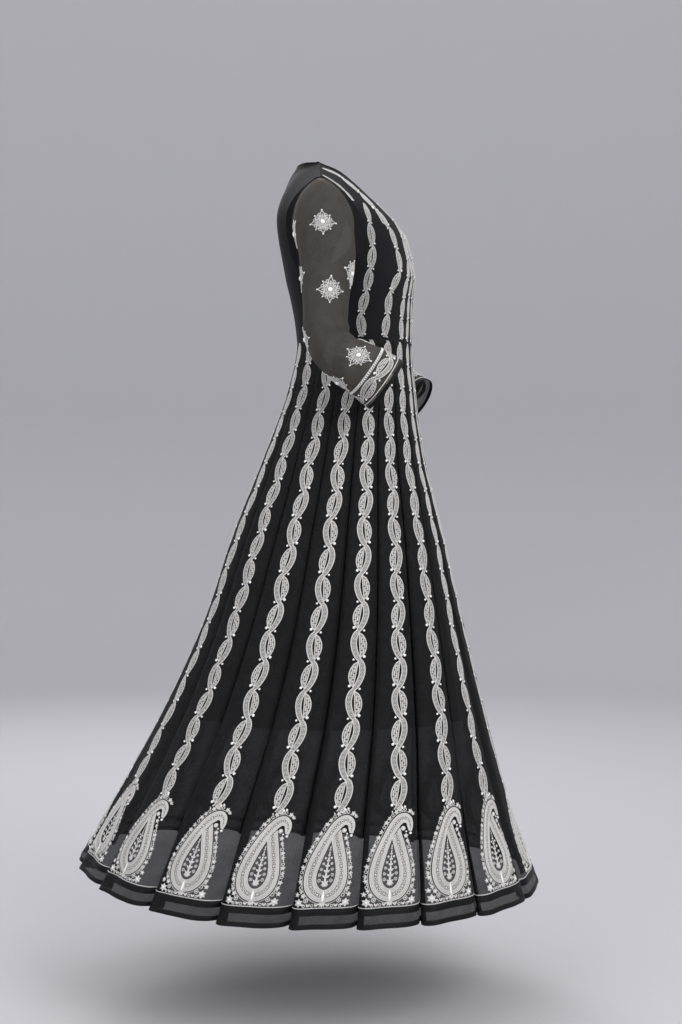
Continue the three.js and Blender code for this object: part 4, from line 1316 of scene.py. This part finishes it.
def on_bodice(line, flat):
    """Flat points (x towards the centre front, y down from the strip's top, h) on the front."""
    way = curve_at(np.array(line[::-1], float), np.linspace(0, 1, 240))
    path = bodice_point(way[:, 0], way[:, 1])
    run = np.concatenate([[0], np.cumsum(np.linalg.norm(np.diff(path, axis=0), axis=1))])
    ahead = np.gradient(path, axis=0)
    ahead /= np.linalg.norm(ahead, axis=1, keepdims=True)

    def slopes(place, up):
        a = (bodice_point(place + 0.02, up) - bodice_point(place - 0.02, up)) / 0.04
        low, high = np.clip(up - 0.01, 0, 1), np.clip(up + 0.01, 0, 1)
        b = (bodice_point(place, high) - bodice_point(place, low)) / (high - low)[:, None]
        normal = np.cross(b, a)
        return a, b, normal / np.linalg.norm(normal, axis=1, keepdims=True)

    x, y, h = flat.T
    at = [np.interp(-y, run, way[:, k]) for k in range(2)]
    a, b, normal = slopes(*at)
    across = np.cross(normal, np.stack([np.interp(-y, run, ahead[:, k]) for k in range(3)], -1))
    across *= -np.sign(np.sum(across * a, axis=1))[:, None]
    dot = lambda p, q: np.sum(p * q, axis=1)
    size = dot(a, a) * dot(b, b) - dot(a, b) ** 2
    place = at[0] + x * (dot(across, a) * dot(b, b) - dot(across, b) * dot(a, b)) / size
    up = np.clip(at[1] + x * (dot(across, b) * dot(a, a) - dot(across, a) * dot(a, b)) / size, 0, 1)
    place = np.clip(place, -4.95, 4.95)
    _, _, normal = slopes(place, up)
    here = bodice_point(place, up)
    outward = here - np.array([0.0, -30.0, 0.0])
    normal *= np.sign(dot(normal, outward))[:, None]
    return here + normal * (h + OFF_CLOTH)[:, None], run[-1]


for name, line in BODICE_STRIPS.items():
    total = on_bodice(line, np.zeros((1, 3)))[1]
    count = max(3, round(total / (NODE_SPACING if name != "armhole" else 22.0)))
    starts = -np.arange(count) * total / count
    tapered = [STRIP_WIDTHS[name] * np.interp(k, [0, 1, 2], [0.72, 0.9, 1]) for k in range(count)]
    block = joined(lay_units(starts, tapered, [total / count] * count, lambda k: 0.0))
    laid, _ = on_bodice(line, block[0])
    for side, word in ((1, "right"), (-1, "left")):
        if name == "centre" and side < 0:
            continue
        thread_object(f"bodice_vine_{name}_{word}",
                                         laid if side > 0 else mirror(laid), block, side < 0)

# %% [markdown]
# Star flowers are scattered down the sleeve, each worked round one large bead: loops of
# cord for petals, small rings between them. They are laid by turning across into a turn
# round the arm, and up into a step along it.

# %% Sleeve flowers
# share down the sleeve, turn round it from its outer side towards the back
FLOWER_PLACES = [(0.289, 0.0), (0.511, -0.06), (0.915, -0.07), (0.2, 0.25), (0.444, 0.23),
                 (0.7, 0.21), (0.43, -0.23), (0.93, 0.2), (0.34, 0.5), (0.62, 0.5), (0.9, -0.32)]


def petal_loop(length, width, start):
    """The closed outline of a pointed petal, standing on the x axis."""
    t = np.linspace(0, 1, 8)
    side = width / 2 * np.sin(math.pi * t ** 0.9) ** 0.8
    forth = np.stack([start + t * length, side], 1)
    back = np.stack([start + t[::-1] * length, -side[::-1]], 1)[1:-1]
    return np.concatenate([forth, back])


def spun(line, degrees):
    c, s = math.cos(math.radians(degrees)), math.sin(math.radians(degrees))
    return line @ np.array([[c, s], [-s, c]])


def star_flower():
    work = Stitches()
    work.bead(0, 0, 4.3, 3.4)
    work.ring(0, 0, 6.0, 1.8, 1.1, 14)
    for k in range(8):
        angle = k * 45
        long = k % 2 == 0
        length, width = (12.5, 6.8) if long else (8.5, 6.2)
        work.cord(spun(petal_loop(length, width, 7.4), angle), 1.5, 1.0, closed=True)
        tip = spun(np.array([[9.2 + length, 0]]), angle)[0]
        work.bead(tip[0], tip[1], 1.5 if long else 1.2)
        work.leaf(*spun(np.array([[8.0, 0]]), angle)[0], length * 0.6, 2.4, angle)
        x, y = spun(np.array([[14.2, 0]]), angle + 22.5)[0]
        work.ring(x, y, 2.0, 1.3, 0.9, 8)
        work.cord(spun(np.array([[7.0, 0], [10.0, 0.4], [12.4, 0]]), angle + 22.5), 1.1, 0.8)
    return work.arrays()


def on_tube(table, downs, down, turn, flat, around=None):
    """Flat points (x round towards the back, y up the arm, h) on a sleeve or a cuff."""
    rounds = np.linspace(0, 1, table.shape[1])
    centres = table[:, :-1].mean(axis=1)

    def place(d, t):
        return sample(table, downs, rounds, np.clip(d, 0, 1), np.mod(t, 1))

    one, step = np.array([down]), 0.01
    lower = min(down, 1 - step)
    drop = place(one * 0 + lower + step, turn) - place(one * 0 + lower, turn)
    per_down = np.linalg.norm(drop) / step
    per_turn = around or np.linalg.norm(place(one, turn + step) - place(one, turn)) / step
    x, y, h = flat.T
    d, t = np.clip(down - y / per_down, 0.003, 0.997), turn + x / per_turn
    here = place(d, t)
    normal = np.cross(place(d, t + 0.004) - place(d, t - 0.004),
                      place(d + 0.002, t) - place(d - 0.002, t))
    normal /= np.maximum(np.linalg.norm(normal, axis=1, keepdims=True), 1e-9)
    middle = np.stack([np.interp(d, downs, centres[:, k]) for k in range(3)], -1)
    normal *= np.sign(np.sum(normal * (here - middle), axis=1))[:, None]
    return here + normal * (h + OFF_CLOTH)[:, None]


FLOWER = star_flower()
flowers = {"right": [], "left": []}
block = joined([FLOWER] * len(FLOWER_PLACES))
laid = np.concatenate([on_tube(ARM_TABLE, ARM_DOWN, down, turn, FLOWER[0])
                       for down, turn in FLOWER_PLACES])
for side, name in ((1, "right"), (-1, "left")):
    flowers[name].append(thread_object("sleeve_flowers_" + name, laid if side > 0 else mirror(laid),
                                       block, side < 0))
print("sleeve flowers:", len(FLOWER_PLACES), "on each side of", len(FLOWER[2]), "triangles")

# %% [markdown]
# The cuff carries the same vine, turned on its side to run round the wrist, between a
# beaded line above and a plain one below. Its edge is bound in black.

# %% Cuff work
CUFF_AROUND, CUFF_UNITS = 276.0, 6
CUFF_BAND_WIDTH, CUFF_BAND_UP, BEAD_STEP = 22.0, -18.0, 4.0
EDGE_FROM, EDGE_OFF = 0.86, 0.6


def cuff_work():
    work = Stitches()
    x = np.linspace(0, CUFF_AROUND, 121)
    for up, width in ((-0.9, 1.4), (-4.2, 1.1), (-32.0, 1.5)):
        work.cord(np.stack([x, np.full(121, up)], 1), width, 0.9)
    for k in range(int(CUFF_AROUND / BEAD_STEP)):
        work.bead(k * BEAD_STEP, -2.5, 1.25, 1.3)
    return work.arrays()


length = CUFF_AROUND / CUFF_UNITS
upright = joined(lay_units(-np.arange(CUFF_UNITS) * length, [CUFF_BAND_WIDTH] * CUFF_UNITS,
                           [length] * CUFF_UNITS, lambda k: 0.0))
points = upright[0][:, [1, 0, 2]] * np.array([-1, 1, 1]) + np.array([0, CUFF_BAND_UP, 0])
cuff_block = joined([cuff_work(), (points, *upright[1:])])
laid = on_tube(CUFF_TABLE, CUFF_DOWN, 0.0, 0.0, cuff_block[0], CUFF_AROUND)
cuff_trims = {"right": [], "left": []}
for side, name in ((1, "right"), (-1, "left")):
    turn = (lambda p: p) if side > 0 else mirror
    cuff_trims[name].append(thread_object("cuff_band_" + name, turn(laid), cuff_block, side < 0))
    rows = sample(CUFF_TABLE, CUFF_DOWN, ARM_ROUND, np.linspace(EDGE_FROM, 1, 4)[:, None],
                  ARM_ROUND[None])
    push = rows - rows.mean(axis=1, keepdims=True)
    push /= np.linalg.norm(push, axis=2, keepdims=True)
    loop = np.concatenate([rows + push * EDGE_OFF, (rows - push * EDGE_OFF)[::-1],
                           rows[:1] + push[:1] * EDGE_OFF])
    edge = panel("cuff_edge_" + name, turn(loop), [SATIN], tube_uvs(loop))
    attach(edge, "root")
    cuff_trims[name].append(edge)
print("cuff work:", len(cuff_block[2]), "triangles on each side")

# %% [markdown]
# Where the sheer sleeve is set into the opaque bodice the seam is bound, and shows as a
# dark line. It is a thin cord swept round the armhole.

# %% Armhole seams
SEAM_RADIUS = 1.5
share = np.arange(96) / 96
ring = armhole_point(share) + np.array([-0.6, 0, 0])
forward = np.roll(ring, -1, axis=0) - np.roll(ring, 1, axis=0)
forward /= np.linalg.norm(forward, axis=1, keepdims=True)
away = ring - ring.mean(axis=0)
away -= forward * np.sum(away * forward, axis=1)[:, None]
away /= np.linalg.norm(away, axis=1, keepdims=True)
beside = np.cross(forward, away)
angle = np.linspace(0, 2 * math.pi, 10, endpoint=False)
seam = (ring[:, None] + SEAM_RADIUS * (away[:, None] * np.cos(angle)[None, :, None]
                                       + beside[:, None] * np.sin(angle)[None, :, None]))
seam = np.concatenate([seam, seam[:1]])
seam_uv = np.stack(np.meshgrid(np.arange(10.0), np.arange(97) * 4.0), -1)
for side, name in ((1, "right"), (-1, "left")):
    points = seam if side > 0 else mirror(seam)[:, ::-1]
    made = add_object("armhole_seam_" + name, points.reshape(-1, 3) * MM,
                      [grid_faces(97, 10, closed=True)], [SATIN],
                      seam_uv.reshape(-1, 2))
    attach(made, "root")

# %% [markdown]
# Every free piece of cloth is declared with the size it was cut to: its widest row, its
# longest column and the area between them, all measured on the finished panel.


def declare(cloth):
    width, length, area = CUTS[cloth.name]
    return cloth.name, round(width * 1000), round(length * 1000), round(area, 4)


cut_list = [declare(bodice_front),
            declare(bodice_back)]
for node, cloth in kalis.items():
    cut_list.append(declare(cloth))
for cloth in linings.values():
    cut_list.append(declare(cloth))
for name in ("right", "left"):
    cut_list.append(declare(sleeves[name]))
    cut_list.append(declare(cuffs[name]))
for row in cut_list:
    print("cut:", *row)
print("whole cut:", round(sum(row[3] for row in cut_list), 3), "m2")
